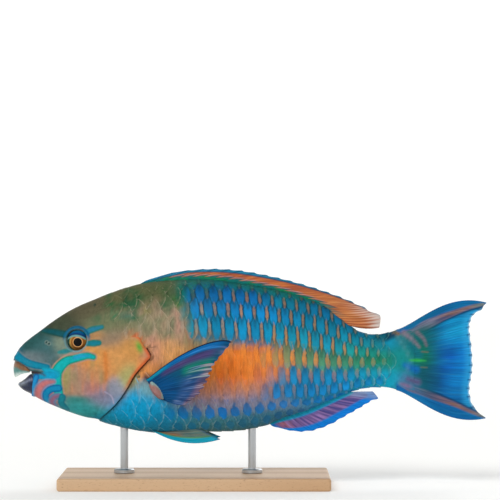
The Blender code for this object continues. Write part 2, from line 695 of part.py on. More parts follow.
def main():
    for old in list(bpy.data.objects):
        bpy.data.objects.remove(old)
    model = bpy.data.collections.new("parrotfish")
    bpy.context.scene.collection.children.link(model)

    head_skin = material("head_skin", (0.35, 0.33, 0.22), 0.4)
    cover_skin = material("cover_skin", (0.62, 0.36, 0.16), 0.4)
    trunk_skin = material("trunk_skin", (0.05, 0.32, 0.50), 0.4)
    jaw_skin = material("jaw_skin", (0.06, 0.42, 0.55), 0.4)
    fin_skin = material("fin_skin", (0.03, 0.28, 0.55), 0.4)
    dorsal_skin = material("dorsal_skin", (0.62, 0.26, 0.12), 0.4)
    beak_enamel = material("beak_enamel", (0.45, 0.62, 0.60), 0.25)
    eye_clear = material("eye", (0.25, 0.12, 0.03), 0.05)
    lacquer = material("beech", (0.62, 0.45, 0.28), 0.5)
    steel = material("steel", (0.6, 0.6, 0.6), 0.3, 1.0)

    place(make_head(), head_skin, model)
    place(make_jaw(), jaw_skin, model)
    place(make_trunk(), trunk_skin, model)
    place(body_solid("tail_stalk", start=TAIL_STALK_START + GAP / 2), trunk_skin, model)
    place(make_beak("beak_upper", UPPER_BEAK), beak_enamel, model)
    place(make_beak("beak_lower", LOWER_BEAK), beak_enamel, model)
    for word, side in (("left", -1), ("right", 1)):
        place(make_gill_cover(f"gill_cover_{word}", side), cover_skin, model)
        place(eyeball(f"eye_{word}", side), eye_clear, model)
        place(make_pectoral(f"fin_pectoral_{word}", side), fin_skin, model)
        place(make_pelvic(f"fin_pelvic_{word}", side), fin_skin, model)
    place(make_dorsal(), dorsal_skin, model)
    place(make_anal(), fin_skin, model)
    place(make_caudal(), fin_skin, model)
    place(make_base(), lacquer, model)
    for name, x in ROD_PLACES.items():
        place(make_rod(name, x), steel, model)


main()
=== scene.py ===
import math

import bmesh
import bpy
import numpy as np
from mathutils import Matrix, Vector


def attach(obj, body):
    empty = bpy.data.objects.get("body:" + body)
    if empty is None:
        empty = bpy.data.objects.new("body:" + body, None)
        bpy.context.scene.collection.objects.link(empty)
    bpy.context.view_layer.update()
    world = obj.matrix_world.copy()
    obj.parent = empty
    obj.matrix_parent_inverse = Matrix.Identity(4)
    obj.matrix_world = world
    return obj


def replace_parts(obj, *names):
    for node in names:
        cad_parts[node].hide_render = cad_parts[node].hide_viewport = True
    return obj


# A parrotfish as a museum's life-size model: a resin cast, airbrushed and varnished, that swims level
# with its head towards -X on two steel rods over a beech board. Places are millimetres in the fish's
# own frame, (x, y, height above its long axis), and the left side faces -Y and the camera.
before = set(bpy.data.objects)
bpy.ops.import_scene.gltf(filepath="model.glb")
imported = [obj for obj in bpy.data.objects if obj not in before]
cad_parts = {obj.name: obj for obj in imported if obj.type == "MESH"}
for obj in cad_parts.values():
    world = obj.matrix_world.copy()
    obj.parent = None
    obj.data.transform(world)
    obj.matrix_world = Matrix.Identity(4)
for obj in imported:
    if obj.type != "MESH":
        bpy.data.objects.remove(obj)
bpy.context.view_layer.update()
MM = 0.001
AXIS_HEIGHT = 79

# Board of the stand: solid beech, planed, its edges eased with a router, finished with hard wax oil.
# The grain runs along the board, with short dark flecks where the rays of the wood are cut.
BEECH_PALE = "#c9a681"
BEECH_DARK = "#b58c63"
BEECH_FLECK = "#8d6643"
BEECH_RING = 5
BEECH_FLECK_LENGTH = 2.5
BEECH_FLECK_WIDTH = 0.5


def linear(hex_colour):
    """The linear colour of an sRGB hex value such as #c9a681, with alpha 1."""
    channels = np.array([int(hex_colour[i:i + 2], 16) / 255 for i in (1, 3, 5)])
    low = channels / 12.92
    high = ((channels + 0.055) / 1.055) ** 2.4
    return (*np.where(channels <= 0.04045, low, high).tolist(), 1)


def wire(made, inputs):
    """Gives a node's inputs, by name or number, a value each or the output that feeds them."""
    for name, value in inputs.items():
        named = [socket for socket in made.inputs if socket.enabled and socket.name == name]
        socket = named[0] if named else made.inputs[name]
        if isinstance(value, bpy.types.NodeSocket):
            made.id_data.links.new(value, socket)
        else:
            socket.default_value = value


def node(material, kind, inputs, output=None, stops=(), **settings):
    """Adds a shader node and returns its output. stops are a colour ramp's places and hex colours."""
    made = material.node_tree.nodes.new("ShaderNode" + kind)
    for name, value in settings.items():
        setattr(made, name, value)
    for i, (place, colour) in enumerate(stops):
        if i > 1:
            made.color_ramp.elements.new(place)
        made.color_ramp.elements[i].position = place
        made.color_ramp.elements[i].color = linear(colour)
    wire(made, inputs)
    return next(socket for socket in made.outputs if socket.enabled and output in (None, socket.name))


def finish(name):
    """A new material with a Principled shader."""
    material = bpy.data.materials.new(name)
    material.use_nodes = True
    return material


def coat_with(material, inputs):
    """Wires a material's finished nodes to its Principled shader."""
    wire(material.node_tree.nodes["Principled BSDF"], inputs)


beech = finish("waxed beech")
on_board = node(beech, "TexCoord", {}, "Object")
along_grain = node(beech, "Mapping", {"Vector": on_board, "Scale": (0.12, 1, 1)})
rings = node(beech, "TexWave", {
    "Vector": along_grain, "Scale": 1 / (BEECH_RING * MM * 20), "Distortion": 5, "Detail": 3,
    "Detail Scale": 1.2}, "Fac", bands_direction="Y")
fleck_places = node(beech, "Mapping", {
    "Vector": on_board,
    "Scale": (1 / BEECH_FLECK_LENGTH / MM, 1 / BEECH_FLECK_WIDTH / MM, 1 / BEECH_FLECK_WIDTH / MM)})
flecks = node(beech, "TexNoise", {"Vector": fleck_places, "Scale": 1, "Detail": 1}, "Fac")
ring_tone = node(beech, "ValToRGB", {"Fac": rings}, "Color",
                 [(0, BEECH_DARK), (0.55, BEECH_PALE), (1, BEECH_PALE)])
fleck_share = node(beech, "MapRange", {"Value": flecks, "From Min": 0.62, "From Max": 0.72, "To Max": 0.55})
wood_tone = node(beech, "Mix", {"Factor": fleck_share, "A": ring_tone, "B": linear(BEECH_FLECK)},
                 data_type="RGBA")
fleck_bump = node(beech, "Bump", {"Height": flecks, "Strength": 0.08, "Distance": 0.0004})
coat_with(beech, {"Base Color": wood_tone, "Normal": fleck_bump, "Roughness": 0.42})
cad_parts["stand_base"].material_slots[0].material = beech

# Rods of the stand: 5 mm round bar of stainless steel, turned and brushed round its axis, each on a
# turned foot. The brushing shows as fine rings that spread the highlight along the bar.
STEEL = "#b8bbbe"
BRUSH_MARK = 0.35
steel = finish("brushed stainless steel")
round_rod = node(steel, "Mapping", {"Vector": node(steel, "TexCoord", {}, "Object"),
                                    "Scale": (40, 40, 1 / BRUSH_MARK / MM)})
brushing = node(steel, "TexNoise", {"Vector": round_rod, "Scale": 1, "Detail": 3}, "Fac")
brush_gloss = node(steel, "MapRange", {"Value": brushing, "To Min": 0.24, "To Max": 0.42})
brush_bump = node(steel, "Bump", {"Height": brushing, "Strength": 0.12, "Distance": 0.0002})
coat_with(steel, {"Base Color": linear(STEEL), "Metallic": 1, "Roughness": brush_gloss,
                  "Normal": brush_bump})
for rod in ("stand_rod_front", "stand_rod_rear"):
    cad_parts[rod].material_slots[0].material = steel

# Skin: one cast of head, jaws, trunk and tail stalk in polyester resin. The lips, the rim of each eye
# socket, the gill slit and the nostrils are modelled in the cast. Below the scales it's left plain.
BODY_FRONT = -150
BODY_END = 104           # the flesh runs a little way under the scaly base of the tail fin
BACK = [
    (-150, -1.5), (-149.2, 3), (-147.6, 6.6), (-144.6, 10.4), (-140, 14.4), (-133.5, 19.2), (-125.9, 24.9),
    (-115.7, 31.5), (-95.4, 40.6), (-70.1, 48.8), (-44.7, 51.4), (-27.6, 51.7), (-9.8, 49.8), (33.3, 40.1),
    (47.3, 34.4), (59.9, 24.7), (66, 20.2), (81.9, 16.9), (91, 19.3), (97, 21.6), (104, 23.4)]
BELLY = [
    (-150, -8), (-149.2, -11.5), (-147, -15.2), (-137.9, -21.8), (-120.8, -30.1), (-90.4, -39.7),
    (-75, -43.4), (-55, -45.6), (-30, -44.8), (0.9, -42.6), (11.1, -40), (16.2, -37.6), (35.5, -31.1),
    (54.9, -22.8), (64.4, -19), (80.9, -16.5), (90, -17.5), (97, -20.1), (104, -22.4)]
HALF_WIDTH = [
    (-150, 2.4), (-149.2, 4.4), (-146.5, 6.8), (-141, 9), (-133, 11.4), (-121, 14.2), (-108, 17),
    (-92, 19.4), (-75, 21.2), (-55, 22.2), (-35, 22), (-10, 20.2), (12, 17.2), (33, 13.4), (52, 9.8),
    (66, 7.4), (82, 5.6), (97, 3.6), (104, 1.6)]
WIDEST = [(-150, -4.8), (-140, -3.5), (-125, -2), (-100, 1.5), (-60, 4.5), (0, 5), (60, 2), (104, 0.8)]
ROUNDNESS = 2.05         # exponent of a section: 2 is an ellipse
SKIN_DEPTH = 0.15        # the skin lies this far inside the solid, under the scales' coat
HEAD_END = -60
HEAD_STEP = 0.5          # between rings on the head, where the markings are finest
TRUNK_STEP = 2.2
SIDE_POINTS = 180        # points of a ring from the belly's middle line to the back's
UPPER_LIP = [(-149.4, 0.4), (-146, -0.8), (-140.9, -3.9), (-138.2, -6.2)]
LOWER_LIP = [(-138.2, -6.8), (-137.3, -10.5), (-138.3, -15.5), (-138.5, -19.8)]
MOUTH_CREASE = [(-138.2, -6.5), (-135, -6.9), (-131.5, -7.6), (-129.5, -8.8)]
LIP_HEIGHT = 0.85
LIP_WIDTH = 3.6
EYE_CENTRE = (-109.5, 13.9)
SOCKET_RADIUS = 6.8
SOCKET_DEPTH = 4
ORBIT_RIM = 0.75
NOSTRILS = [(-128.6, 12.2), (-127, 11.3)]
GILL_OPENING = [
    (-74, 18.4), (-69.6, 15.6), (-67, 11), (-62.8, 4.2), (-65, 0.6), (-72.3, -7.6), (-77.6, -16.6),
    (-84.3, -25.8), (-92.5, -33.9), (-99, -39.5)]
GILL_GROOVE = 0.9


def curve_through(knots):
    """A smooth function through (x, value) points."""
    xs, values = np.array(knots, float).T
    slopes = np.gradient(values, xs)

    def at(x):
        x = np.clip(x, xs[0], xs[-1])
        i = np.clip(np.searchsorted(xs, x) - 1, 0, len(xs) - 2)
        span = xs[i + 1] - xs[i]
        t = (x - xs[i]) / span
        u = 1 - t
        ends = values[i] * (1 + 2 * t) * u * u + values[i + 1] * t * t * (3 - 2 * t)
        return ends + span * (slopes[i] * t * u * u - slopes[i + 1] * t * t * u)

    return at


back, belly, half_width, widest = map(curve_through, (BACK, BELLY, HALF_WIDTH, WIDEST))

GIRTH_XS = np.arange(BODY_FRONT, BODY_END + 6, 1)
GIRTH_SHARES = np.linspace(-1, 1, 161)


def girth_angles():
    """For each ring of the body, the angle at each share of its girth, which is -1 at the belly's
    middle line, 0 at the widest level, and 1 at the back."""
    angles = np.linspace(-math.pi / 2, math.pi / 2, 721)
    table = []
    for x in GIRTH_XS:
        y = half_width(x) * np.cos(angles) ** (2 / ROUNDNESS)
        reach = np.where(angles > 0, back(x) - widest(x), widest(x) - belly(x))
        z = reach * np.sign(angles) * np.abs(np.sin(angles)) ** (2 / ROUNDNESS)
        arc = np.concatenate([[0], np.cumsum(np.hypot(np.diff(y), np.diff(z)))])
        low, high = arc[360], arc[-1] - arc[360]
        at = low + np.where(GIRTH_SHARES < 0, low, high) * GIRTH_SHARES
        table.append(np.interp(at, arc, angles))
    return np.array(table)


ANGLE_AT = girth_angles()


def on_body(x, share, side):
    """Points on the body's surface at x and a share of the girth; side is -1 for left, 1 for right."""
    x = np.asarray(x, float)
    share = np.clip(share, -1, 1)
    column = np.clip(x - BODY_FRONT, 0, len(GIRTH_XS) - 1.001)
    row = np.clip((share + 1) / 2 * (len(GIRTH_SHARES) - 1), 0, len(GIRTH_SHARES) - 1.001)
    i, j = column.astype(int), row.astype(int)
    s, t = column - i, row - j
    angle = ((ANGLE_AT[i, j] * (1 - t) + ANGLE_AT[i, j + 1] * t) * (1 - s)
             + (ANGLE_AT[i + 1, j] * (1 - t) + ANGLE_AT[i + 1, j + 1] * t) * s)
    reach = np.where(angle > 0, back(x) - widest(x), widest(x) - belly(x))
    y = side * half_width(x) * np.maximum(np.cos(angle), 0) ** (2 / ROUNDNESS)
    z = widest(x) + reach * np.sign(angle) * np.abs(np.sin(angle)) ** (2 / ROUNDNESS)
    return np.stack([x, y, z], -1)


def body_normal(x, share, side):
    """Unit vectors out of the body."""
    step = 0.3
    along = on_body(x + step, share, side) - on_body(x - step, share, side)
    turn = 0.012
    round_it = (on_body(x, np.minimum(share + turn, 1), side)
                - on_body(x, np.maximum(share - turn, -1), side))
    out = np.cross(along, round_it) * -np.asarray(side, float)[..., None]
    return out / np.maximum(np.linalg.norm(out, axis=-1, keepdims=True), 1e-9)


def share_at(x, height):
    """The share of the girth at a height on the body's side."""
    x, height = np.broadcast_arrays(np.asarray(x, float), np.asarray(height, float))
    rise = height - widest(x)
    reach = np.where(rise > 0, back(x) - widest(x), widest(x) - belly(x))
    sine = np.clip(np.abs(rise) / reach, 0, 1) ** (ROUNDNESS / 2)
    angle = np.sign(rise) * np.arcsin(sine)
    column = np.clip(np.round(x - BODY_FRONT).astype(int), 0, len(GIRTH_XS) - 1)
    flat = [np.interp(a, ANGLE_AT[c], GIRTH_SHARES) for a, c in zip(angle.ravel(), column.ravel())]
    return np.array(flat).reshape(angle.shape)


def eased(line, count=40):
    """A smooth line of points through a few points, each of any number of values."""
    values = np.array(line, float)
    shares = np.linspace(0, 1, len(values))
    at = np.linspace(0, 1, count)
    return np.stack([curve_through(np.stack([shares, v], 1))(at) for v in values.T], 1)


def nearest(places, line):
    """Distance of each (x, height) from a line of points, and the share of the line where it's nearest."""
    best = np.full(len(places), 1e9)
    share = np.zeros(len(places))
    for i in range(len(line) - 1):
        start, run = line[i][:2], line[i + 1][:2] - line[i][:2]
        t = np.clip(((places - start) @ run) / max(run @ run, 1e-9), 0, 1)
        away = np.linalg.norm(places - (start + t[:, None] * run), axis=1)
        closer = away < best
        best[closer] = away[closer]
        share[closer] = (i + t[closer]) / (len(line) - 1)
    return best, share


def smooth(edge_0, edge_1, value):
    """Eases from 0 at one edge to 1 at the other."""
    t = np.clip((value - edge_0) / (edge_1 - edge_0), 0, 1)
    return t * t * (3 - 2 * t)


def bell(value, width):
    """1 where a value is 0, falling off softly over a width to each side."""
    return np.exp(-(value / width) ** 2)


gill_line = eased(GILL_OPENING, 60)
GILL_TOP = GILL_OPENING[0][1]


def gill_x(height):
    """Where the gill opening lies at a height."""
    order = np.argsort(gill_line[:, 1])
    return np.interp(height, gill_line[order, 1], gill_line[order, 0])


def eye_axis(side):
    """The centre of an eye's socket on the skin, and its outward direction."""
    share = share_at(*EYE_CENTRE)
    x = np.array(EYE_CENTRE[0])
    return on_body(x, share, side), body_normal(x, share, side)


def from_eye(points, side):
    """The offsets of points from an eye's centre, and their distances from its axis."""
    centre, out = eye_axis(side)
    apart = points - centre
    return apart, np.linalg.norm(apart - (apart @ out)[:, None] * out, axis=1)


def skin_relief(points, side):
    """How far the cast stands out of the plain body at each point, in mm."""
    places = points[:, [0, 2]]
    relief = np.full(len(points), -SKIN_DEPTH)
    for line, height in ((UPPER_LIP, LIP_HEIGHT), (LOWER_LIP, LIP_HEIGHT * 0.9)):
        away, _ = nearest(places, eased(line))
        roll = np.sin(np.clip(away / LIP_WIDTH, 0, 1) * math.pi) ** 0.8
        relief += height * roll - 0.7 * (1 - smooth(0, 0.8, away))
    away, along = nearest(places, eased(MOUTH_CREASE))
    relief -= 0.9 * (1 - 0.6 * along) * bell(away, 0.55)
    _, ring = from_eye(points, side)
    relief += ORBIT_RIM * bell(ring - SOCKET_RADIUS - 0.9, 0.85)
    relief -= SOCKET_DEPTH * (1 - smooth(SOCKET_RADIUS - 0.9, SOCKET_RADIUS + 0.1, ring))
    for x, height in NOSTRILS:
        pit = np.hypot(places[:, 0] - x, places[:, 1] - height)
        relief += 0.22 * bell(pit - 0.95, 0.35) - 0.9 * bell(pit, 0.5)
    away, _ = nearest(places, gill_line)
    behind = places[:, 0] - gill_x(places[:, 1])
    slot = np.where(behind > 0, bell(away, 1.6), bell(away, 4.5))
    below_top = smooth(GILL_TOP + 2.5, GILL_TOP - 1.5, places[:, 1])
    relief -= GILL_GROOVE * slot * below_top
    return relief


def column_places():
    """Places of the skin's rings along the fish."""
    head = np.linspace(BODY_FRONT, HEAD_END, round((HEAD_END - BODY_FRONT) / HEAD_STEP) + 1)
    trunk = np.linspace(HEAD_END, BODY_END, round((BODY_END - HEAD_END) / TRUNK_STEP) + 1)
    return np.concatenate([head, trunk[1:]])


def wrapped_grid(name, points):
    """A grid primitive laid through points in mm, an array of (columns, rows, 3), as one surface."""
    bpy.ops.object.select_all(action="DESELECT")
    columns, rows = points.shape[:2]
    bpy.ops.mesh.primitive_grid_add(x_subdivisions=columns - 1, y_subdivisions=rows - 1, size=1)
    obj = bpy.context.object
    obj.name = obj.data.name = name
    flat = points.transpose(1, 0, 2).reshape(-1, 3) + (0, 0, AXIS_HEIGHT)
    obj.data.vertices.foreach_set("co", (flat * MM).ravel())
    obj.data.update()
    return obj


def closed_up(obj, merge=1e-6):
    """Joins the points that meet, fills what is open, and turns the faces outwards."""
    shape = bmesh.new()
    shape.from_mesh(obj.data)
    bmesh.ops.remove_doubles(shape, verts=shape.verts, dist=merge)
    bmesh.ops.dissolve_degenerate(shape, edges=shape.edges, dist=merge)
    edges = [edge for edge in shape.edges if edge.is_boundary]
    if edges:
        bmesh.ops.holes_fill(shape, edges=edges)
    bmesh.ops.recalc_face_normals(shape, faces=shape.faces)
    if shape.calc_volume(signed=True) < 0:
        bmesh.ops.reverse_faces(shape, faces=shape.faces)
    shape.to_mesh(obj.data)
    shape.free()
    return obj


def take_up(obj):
    """Selects an object alone and makes it the active one."""
    bpy.ops.object.select_all(action="DESELECT")
    obj.select_set(True)
    bpy.context.view_layer.objects.active = obj


def shade(obj, degrees):
    """Smooth shading with the creases sharper than an angle kept."""
    take_up(obj)
    bpy.ops.object.shade_smooth_by_angle(angle=math.radians(degrees))


def places_of(obj):
    """An object's points in mm in the fish's frame."""
    flat = np.empty(len(obj.data.vertices) * 3)
    obj.data.vertices.foreach_get("co", flat)
    return flat.reshape(-1, 3) / MM - (0, 0, AXIS_HEIGHT)


xs = column_places()
shares = np.linspace(-1, 1, SIDE_POINTS + 1)
halves = []
for side in (-1, 1):
    grid_x, grid_share = np.meshgrid(xs, shares, indexing="ij")
    surface = on_body(grid_x, grid_share, side)
    out = body_normal(grid_x, grid_share, side)
    relief = skin_relief(surface.reshape(-1, 3), side).reshape(grid_x.shape)
    halves.append(surface + out * relief[..., None])
for half in halves:
    half[:, [0, -1], 1] = 0
skin = wrapped_grid("skin", np.concatenate([halves[0], halves[1][:, ::-1][:, 1:]], axis=1))
closed_up(skin, 1e-5)

# Inside of the mouth: the cast is sawn open between the lips, and the cut is painted as dark gum in
# two tones under gloss varnish, so that it looks wet.
GUM = "#2a1c26"
GUM_WET = "#57363c"
GUM_MOTTLE = 1.6         # mm across a patch of wet gum
MOUTH_CUT_REACH = 30     # mm to each side, past both lips
gum = finish("painted resin gum")
gum_spots = node(gum, "TexNoise", {"Vector": node(gum, "TexCoord", {}, "Object"),
                                   "Scale": 1 / (GUM_MOTTLE * MM), "Detail": 3}, "Fac")
gum_tone = node(gum, "ValToRGB", {"Fac": gum_spots}, "Color", [(0.3, GUM), (0.75, GUM_WET)])
coat_with(gum, {"Base Color": gum_tone, "Roughness": 0.3, "Coat Weight": 0.5})

skin_paint = finish("airbrushed resin skin")
skin.data.materials.append(skin_paint)
skin.data.materials.append(gum)

opening = [(BODY_FRONT - 8, UPPER_LIP[0][1] + 0.3), *eased(UPPER_LIP, 16), *eased(LOWER_LIP, 16),
           (LOWER_LIP[-1][0], -60), (BODY_FRONT - 8, -60)]
bpy.ops.curve.primitive_bezier_curve_add()
mouth_curve = bpy.context.object
mouth_curve.data.splines.clear()
mouth_curve.data.dimensions = "2D"
mouth_curve.data.fill_mode = "BOTH"
mouth_curve.data.extrude = MOUTH_CUT_REACH * MM
outline = mouth_curve.data.splines.new("POLY")
outline.points.add(len(opening) - 1)
for point, (x, height) in zip(outline.points, opening):
    point.co = (x * MM, (height + AXIS_HEIGHT) * MM, 0, 1)
outline.use_cyclic_u = True
mouth_curve.rotation_euler = (math.pi / 2, 0, 0)
take_up(mouth_curve)
bpy.ops.object.convert(target="MESH")
bpy.ops.object.transform_apply(location=True, rotation=True, scale=True)
mouth_cutter = bpy.context.object
closed_up(mouth_cutter)
mouth_cutter.data.materials.append(gum)
cut = skin.modifiers.new("mouth", "BOOLEAN")
cut.operation = "DIFFERENCE"
cut.object = mouth_cutter
cut.solver = "EXACT"
cut.material_mode = "TRANSFER"
take_up(skin)
bpy.ops.object.modifier_apply(modifier=cut.name)
bpy.data.objects.remove(mouth_cutter)
shade(skin, 50)

# Ground colours of the skin, airbrushed in soft overlapping passes of acrylic: a dark olive and teal
# head, orange and tan cheeks, a tan shoulder, an orange patch on the flank, and blue below and behind.
# Each pass is its place, (x, height), how far it spreads along and up, and its colour.
GROUND_PASSES = [
    ("snout tip", -149, 4, 4, 6, "#10586c"), ("snout top", -139, 14, 8, 6, "#23504f"),
    ("snout side", -128, 7, 10, 7, "#3a6164"), ("above the lip", -136, 3, 8, 3, "#6b7579"),
    ("forehead", -121, 25, 10, 7, "#3f4736"), ("crown", -104, 34, 12, 7, "#5a5540"),
    ("nape", -80, 44, 14, 7, "#5c5c3e"), ("before the eye", -120, 11, 4, 4, "#7f8a74"),
    ("below the eye", -113, 5, 6, 2.5, "#968a80"), ("behind the eye", -97, 17, 5, 2.4, "#b68454"),
    ("temple", -90, 24, 10, 6, "#646d4a"), ("temple rear", -86, 16, 8, 5, "#8a7662"),
    ("cheek top", -98, 1, 6, 5, "#cc9048"), ("cheek", -107, -12, 10, 8, "#a07f68"),
    ("cheek rim", -117, -8, 3, 8, "#98904f"), ("cheek rear", -97, -6, 5, 8, "#bd8656"),
    ("cheek foot", -100, -16, 5, 4, "#a9707a"), ("opercle", -84, 2, 7, 8, "#c88e52"),
    ("opercle rear", -76, 10, 5, 5, "#c48c4c"), ("opercle foot", -78, -9, 4, 6, "#9a9a62"),
    ("opercle low", -84, -16, 4, 5, "#8a90a0"), ("mauve", -93, -22, 8, 5, "#7d7d95"),
    ("throat", -108, -30, 12, 5, "#2a9294"), ("throat top", -110, -24, 8, 2, "#0f7c78"),
    ("chin", -128, -24, 8, 4, "#96616c"), ("breast", -70, -30, 13, 8, "#0894c4"),
    ("breast front", -90, -39, 12, 4, "#1080a0"), ("behind the gills", -60, 6, 5, 8, "#b88068"),
    ("armpit", -62, -5, 5, 6, "#d48a48"), ("below the fin", -63, -17, 5, 4, "#6f9ea8"),
    ("over the fin", -48, 6, 9, 6, "#e0a060"), ("shoulder top", -56, 40, 18, 9, "#515a38"),
    ("shoulder", -52, 25, 14, 8, "#948568"), ("shoulder rear", -38, 18, 6, 8, "#97835c"),
    ("blue front", -40, 44, 5, 6, "#0a6a68"), ("blue front low", -38, 32, 3.5, 6, "#1a807c"),
    ("flank top", -10, 40, 22, 9, "#0b5f66"), ("flank blue", -12, 25, 22, 9, "#0a5a7c"),
    ("flank tan", -26, 14, 12, 5, "#7d8468"), ("patch", -12, -3, 17, 10, "#e47822"),
    ("patch rear", 8, -2, 13, 8, "#e07a30"), ("under the patch", -16, -18, 18, 6, "#c07e58"),
    ("mauve flank", -10, -25, 22, 5, "#7c84a0"), ("belly front", -54, -38, 12, 6, "#0d7aa2"),
    ("belly", -28, -42, 22, 6, "#3c7a88"), ("belly rear", 6, -36, 14, 6, "#347088"),
    ("flank green", 38, 3, 16, 6, "#447a5e"), ("flank high rear", 34, 24, 22, 9, "#0a5c60"),
    ("flank low rear", 34, -14, 20, 8, "#1c7ca4"), ("stalk", 74, 2, 12, 6, "#22846c"),
    ("stalk top", 80, 12, 12, 5, "#0784a4"), ("stalk foot", 80, -12, 14, 5, "#0a9cb8"),
    ("tail base", 97, 2, 7, 7, "#0f8688"), ("tail base top", 98, 16, 5, 6, "#2a6a70"),
    ("tail base foot", 98, -14, 5, 6, "#2f6a8c"), ("tail wedge top", 112, 15, 7, 5, "#0a5c60"),
    ("tail wedge", 111, 4, 9, 6, "#0a6450"), ("tail wedge foot", 112, -9, 7, 5, "#0a5060"),
    ("back foot", 20, 46, 40, 5, "#0c6a5c"),
]


def airbrushed(places, passes):
    """Linear colours at (x, height) places, each pass weighted by how near it is."""
    total = np.zeros((len(places), 3))
    weights = np.full(len(places), 1e-12)
    for _, x, height, along, up, colour in passes:
        away = ((places[:, 0] - x) / along) ** 2 + ((places[:, 1] - height) / up) ** 2
        weight = np.exp(-np.minimum(away, 60)) + 1e-9 / (1 + away)
        total += weight[:, None] * linear(colour)[:3]
        weights += weight
    return total / weights[:, None]


def streaks(along, across, length, width, seed):
    """Smooth random values of 0 to 1 that change every width one way and every length the other."""
    random = np.random.default_rng(seed).random((257, 257))
    u, v = along / length, across / width
    i, j = np.floor(u).astype(int), np.floor(v).astype(int)
    s, t = u - i, v - j
    s, t = s * s * (3 - 2 * s), t * t * (3 - 2 * t)
    low = random[i % 257, j % 257] * (1 - t) + random[i % 257, (j + 1) % 257] * t
    high = random[(i + 1) % 257, j % 257] * (1 - t) + random[(i + 1) % 257, (j + 1) % 257] * t
    return low * (1 - s) + high * s


# Bands of the face, sprayed through a mask and edged with a fine brush: turquoise and blue lines that
# lie over the ground colours, each with a darker edge and some with a pink or tan line beside them.
# Each band is its line of (x, height, half width), core colour, edge colour and halo colour or None.
FACE_BANDS = [
    ([(-122, -6, 0.1), (-119.5, -13, 0.1)], "#9a8f86", "#9a8f86", None),
    ([(-91.6, -18.6, 0.2), (-87.4, -21.4, 0.25), (-85.9, -26, 0.2)], "#9a96ae", "#9a96ae", None),
    ([(-101, 16.2, 0.8), (-94.5, 17, 0.6)], "#b97f4c", "#9c7a52", None),
    ([(-131.9, 19.6, 1.3), (-124, 18.6, 2), (-116.6, 17.2, 2.2)], "#0a4f58", "#17463f", None),
    ([(-103.4, 18.4, 1.7), (-99.5, 20.4, 2), (-93.4, 22, 1.4)], "#0b6f8c", "#176a5c", None),
    ([(-102.6, 11.6, 1.5), (-98.5, 11.9, 2.1), (-95.2, 12.1, 1.7)], "#0b7487", "#146e62", None),
    ([(-112.5, 7.4, 0.9), (-117, 6.6, 1.5), (-120.6, 6, 0.9)], "#25777f", "#3a7c78", None),
    ([(-98.6, 3.2, 1.6), (-102.3, 4, 2), (-106.7, 3, 2.2), (-111.2, 1.9, 2.4), (-115.6, 0.6, 2.8),
      (-119.2, -2.4, 3.2), (-121.6, -6, 3.4), (-122.2, -9.8, 3.3), (-121.8, -13.8, 3), (-121.2, -17.6, 3),
      (-120.6, -21.5, 2.8)], "#09a4a6", "#0f846c", "#a88474"),
    ([(-100.6, 3.8, 0.9), (-105.4, 3.9, 1.5), (-110.4, 2.6, 1.5)], "#1c94bc", "#109caa", None),
    ([(-149.6, 5, 2.8), (-147.1, 3.1, 2.6), (-143.4, 0.7, 2.3), (-139, -1.3, 2.2), (-133.7, -2.5, 2.1),
      (-127.9, -3.3, 1.6)], "#0a7e9a", "#0a6a84", "#68787c"),
    ([(-130.4, -4.6, 1), (-126.8, -6.2, 2.3), (-122.6, -7.8, 2.6)], "#0b98b8", "#0b90a8", None),
    ([(-134.6, -9.8, 1.2), (-129.5, -8.8, 2.3), (-124.6, -9, 2.6)], "#0a94bc", "#0c8cb0", None),
    ([(-135, -9.4, 1.8), (-136.2, -12.6, 2.1), (-136.8, -16.2, 2.1), (-136.8, -21.5, 2)], "#1c84bc",
      "#155f9c", None),
    ([(-124, -12.5, 0.9), (-128.8, -13.3, 1.8), (-132.4, -15.8, 2.2), (-134.4, -20.5, 2.2),
      (-133.5, -25, 1.8)], "#b86c6e", "#967080", "#6f8aa8"),
    ([(-120.8, -16.6, 2.2), (-125.8, -17.4, 2.2), (-129, -20.4, 2.2), (-128.8, -24.6, 2), (-126, -28, 1.6)],
      "#0a80ac", "#095f92", None),
    ([(-120.6, -21.4, 0.9), (-123.8, -22.6, 1.6), (-125.6, -25.6, 1.6), (-124, -29, 1.2)], "#8c5c74",
      "#6f6a88", "#4f7a98"),
    ([(-118.6, -22.4, 2.2), (-119.4, -26.2, 2), (-116, -30.5, 1.6)], "#0f7a88", "#12687a", None),
]
TAIL_MARKS = [
    ([(79, 14.8, 1.2), (85, 15.2, 2.4), (90, 16.6, 2)], "#063a55", 1.6),
    ([(91.4, 18.4, 0.8), (93.6, 17.2, 1.2)], "#80623c", 1.2),
    ([(101.5, 10, 2), (106.5, 4, 2.5)], "#0b6a78", 2.5),
    ([(98, -2.5, 1.5), (105, -5.5, 2.2)], "#0a62a8", 2),
    ([(97, 18.2, 1.4), (103.5, 12.8, 0.8), (107, 8.8, 0.5)], "#7d7080", 1.4),
    ([(105.6, 18.2, 1.2), (109.8, 14, 0.9), (111.5, 9.8, 0.6)], "#6a6672", 1.1),
    ([(95.5, -14.2, 1), (100.5, -16.2, 1.3)], "#7a6488", 1.8),
    ([(99.5, -11.4, 1.6), (106, -13.4, 1.8)], "#56547c", 2.2),
    ([(92.6, 16, 0.4), (98.2, 7.4, 0.5), (101.4, 0.8, 0.4)], "#3f8288", 1.6),
    ([(101.4, 0.4, 0.4), (98.4, -7.5, 0.5), (94.8, -12.4, 0.8)], "#457fa4", 1.7),
    ([(101.2, 0.6, 0.5), (106, 0.5, 0.9), (111, 0.2, 0.2)], "#2fa850", 1),
    ([(108.6, 5.9, 0.1), (112.4, 5.7, 0.1)], "#7a6a5c", 1),
    ([(108.2, -3.9, 0.1), (111.8, -4.1, 0.1)], "#6a6e58", 1),
]
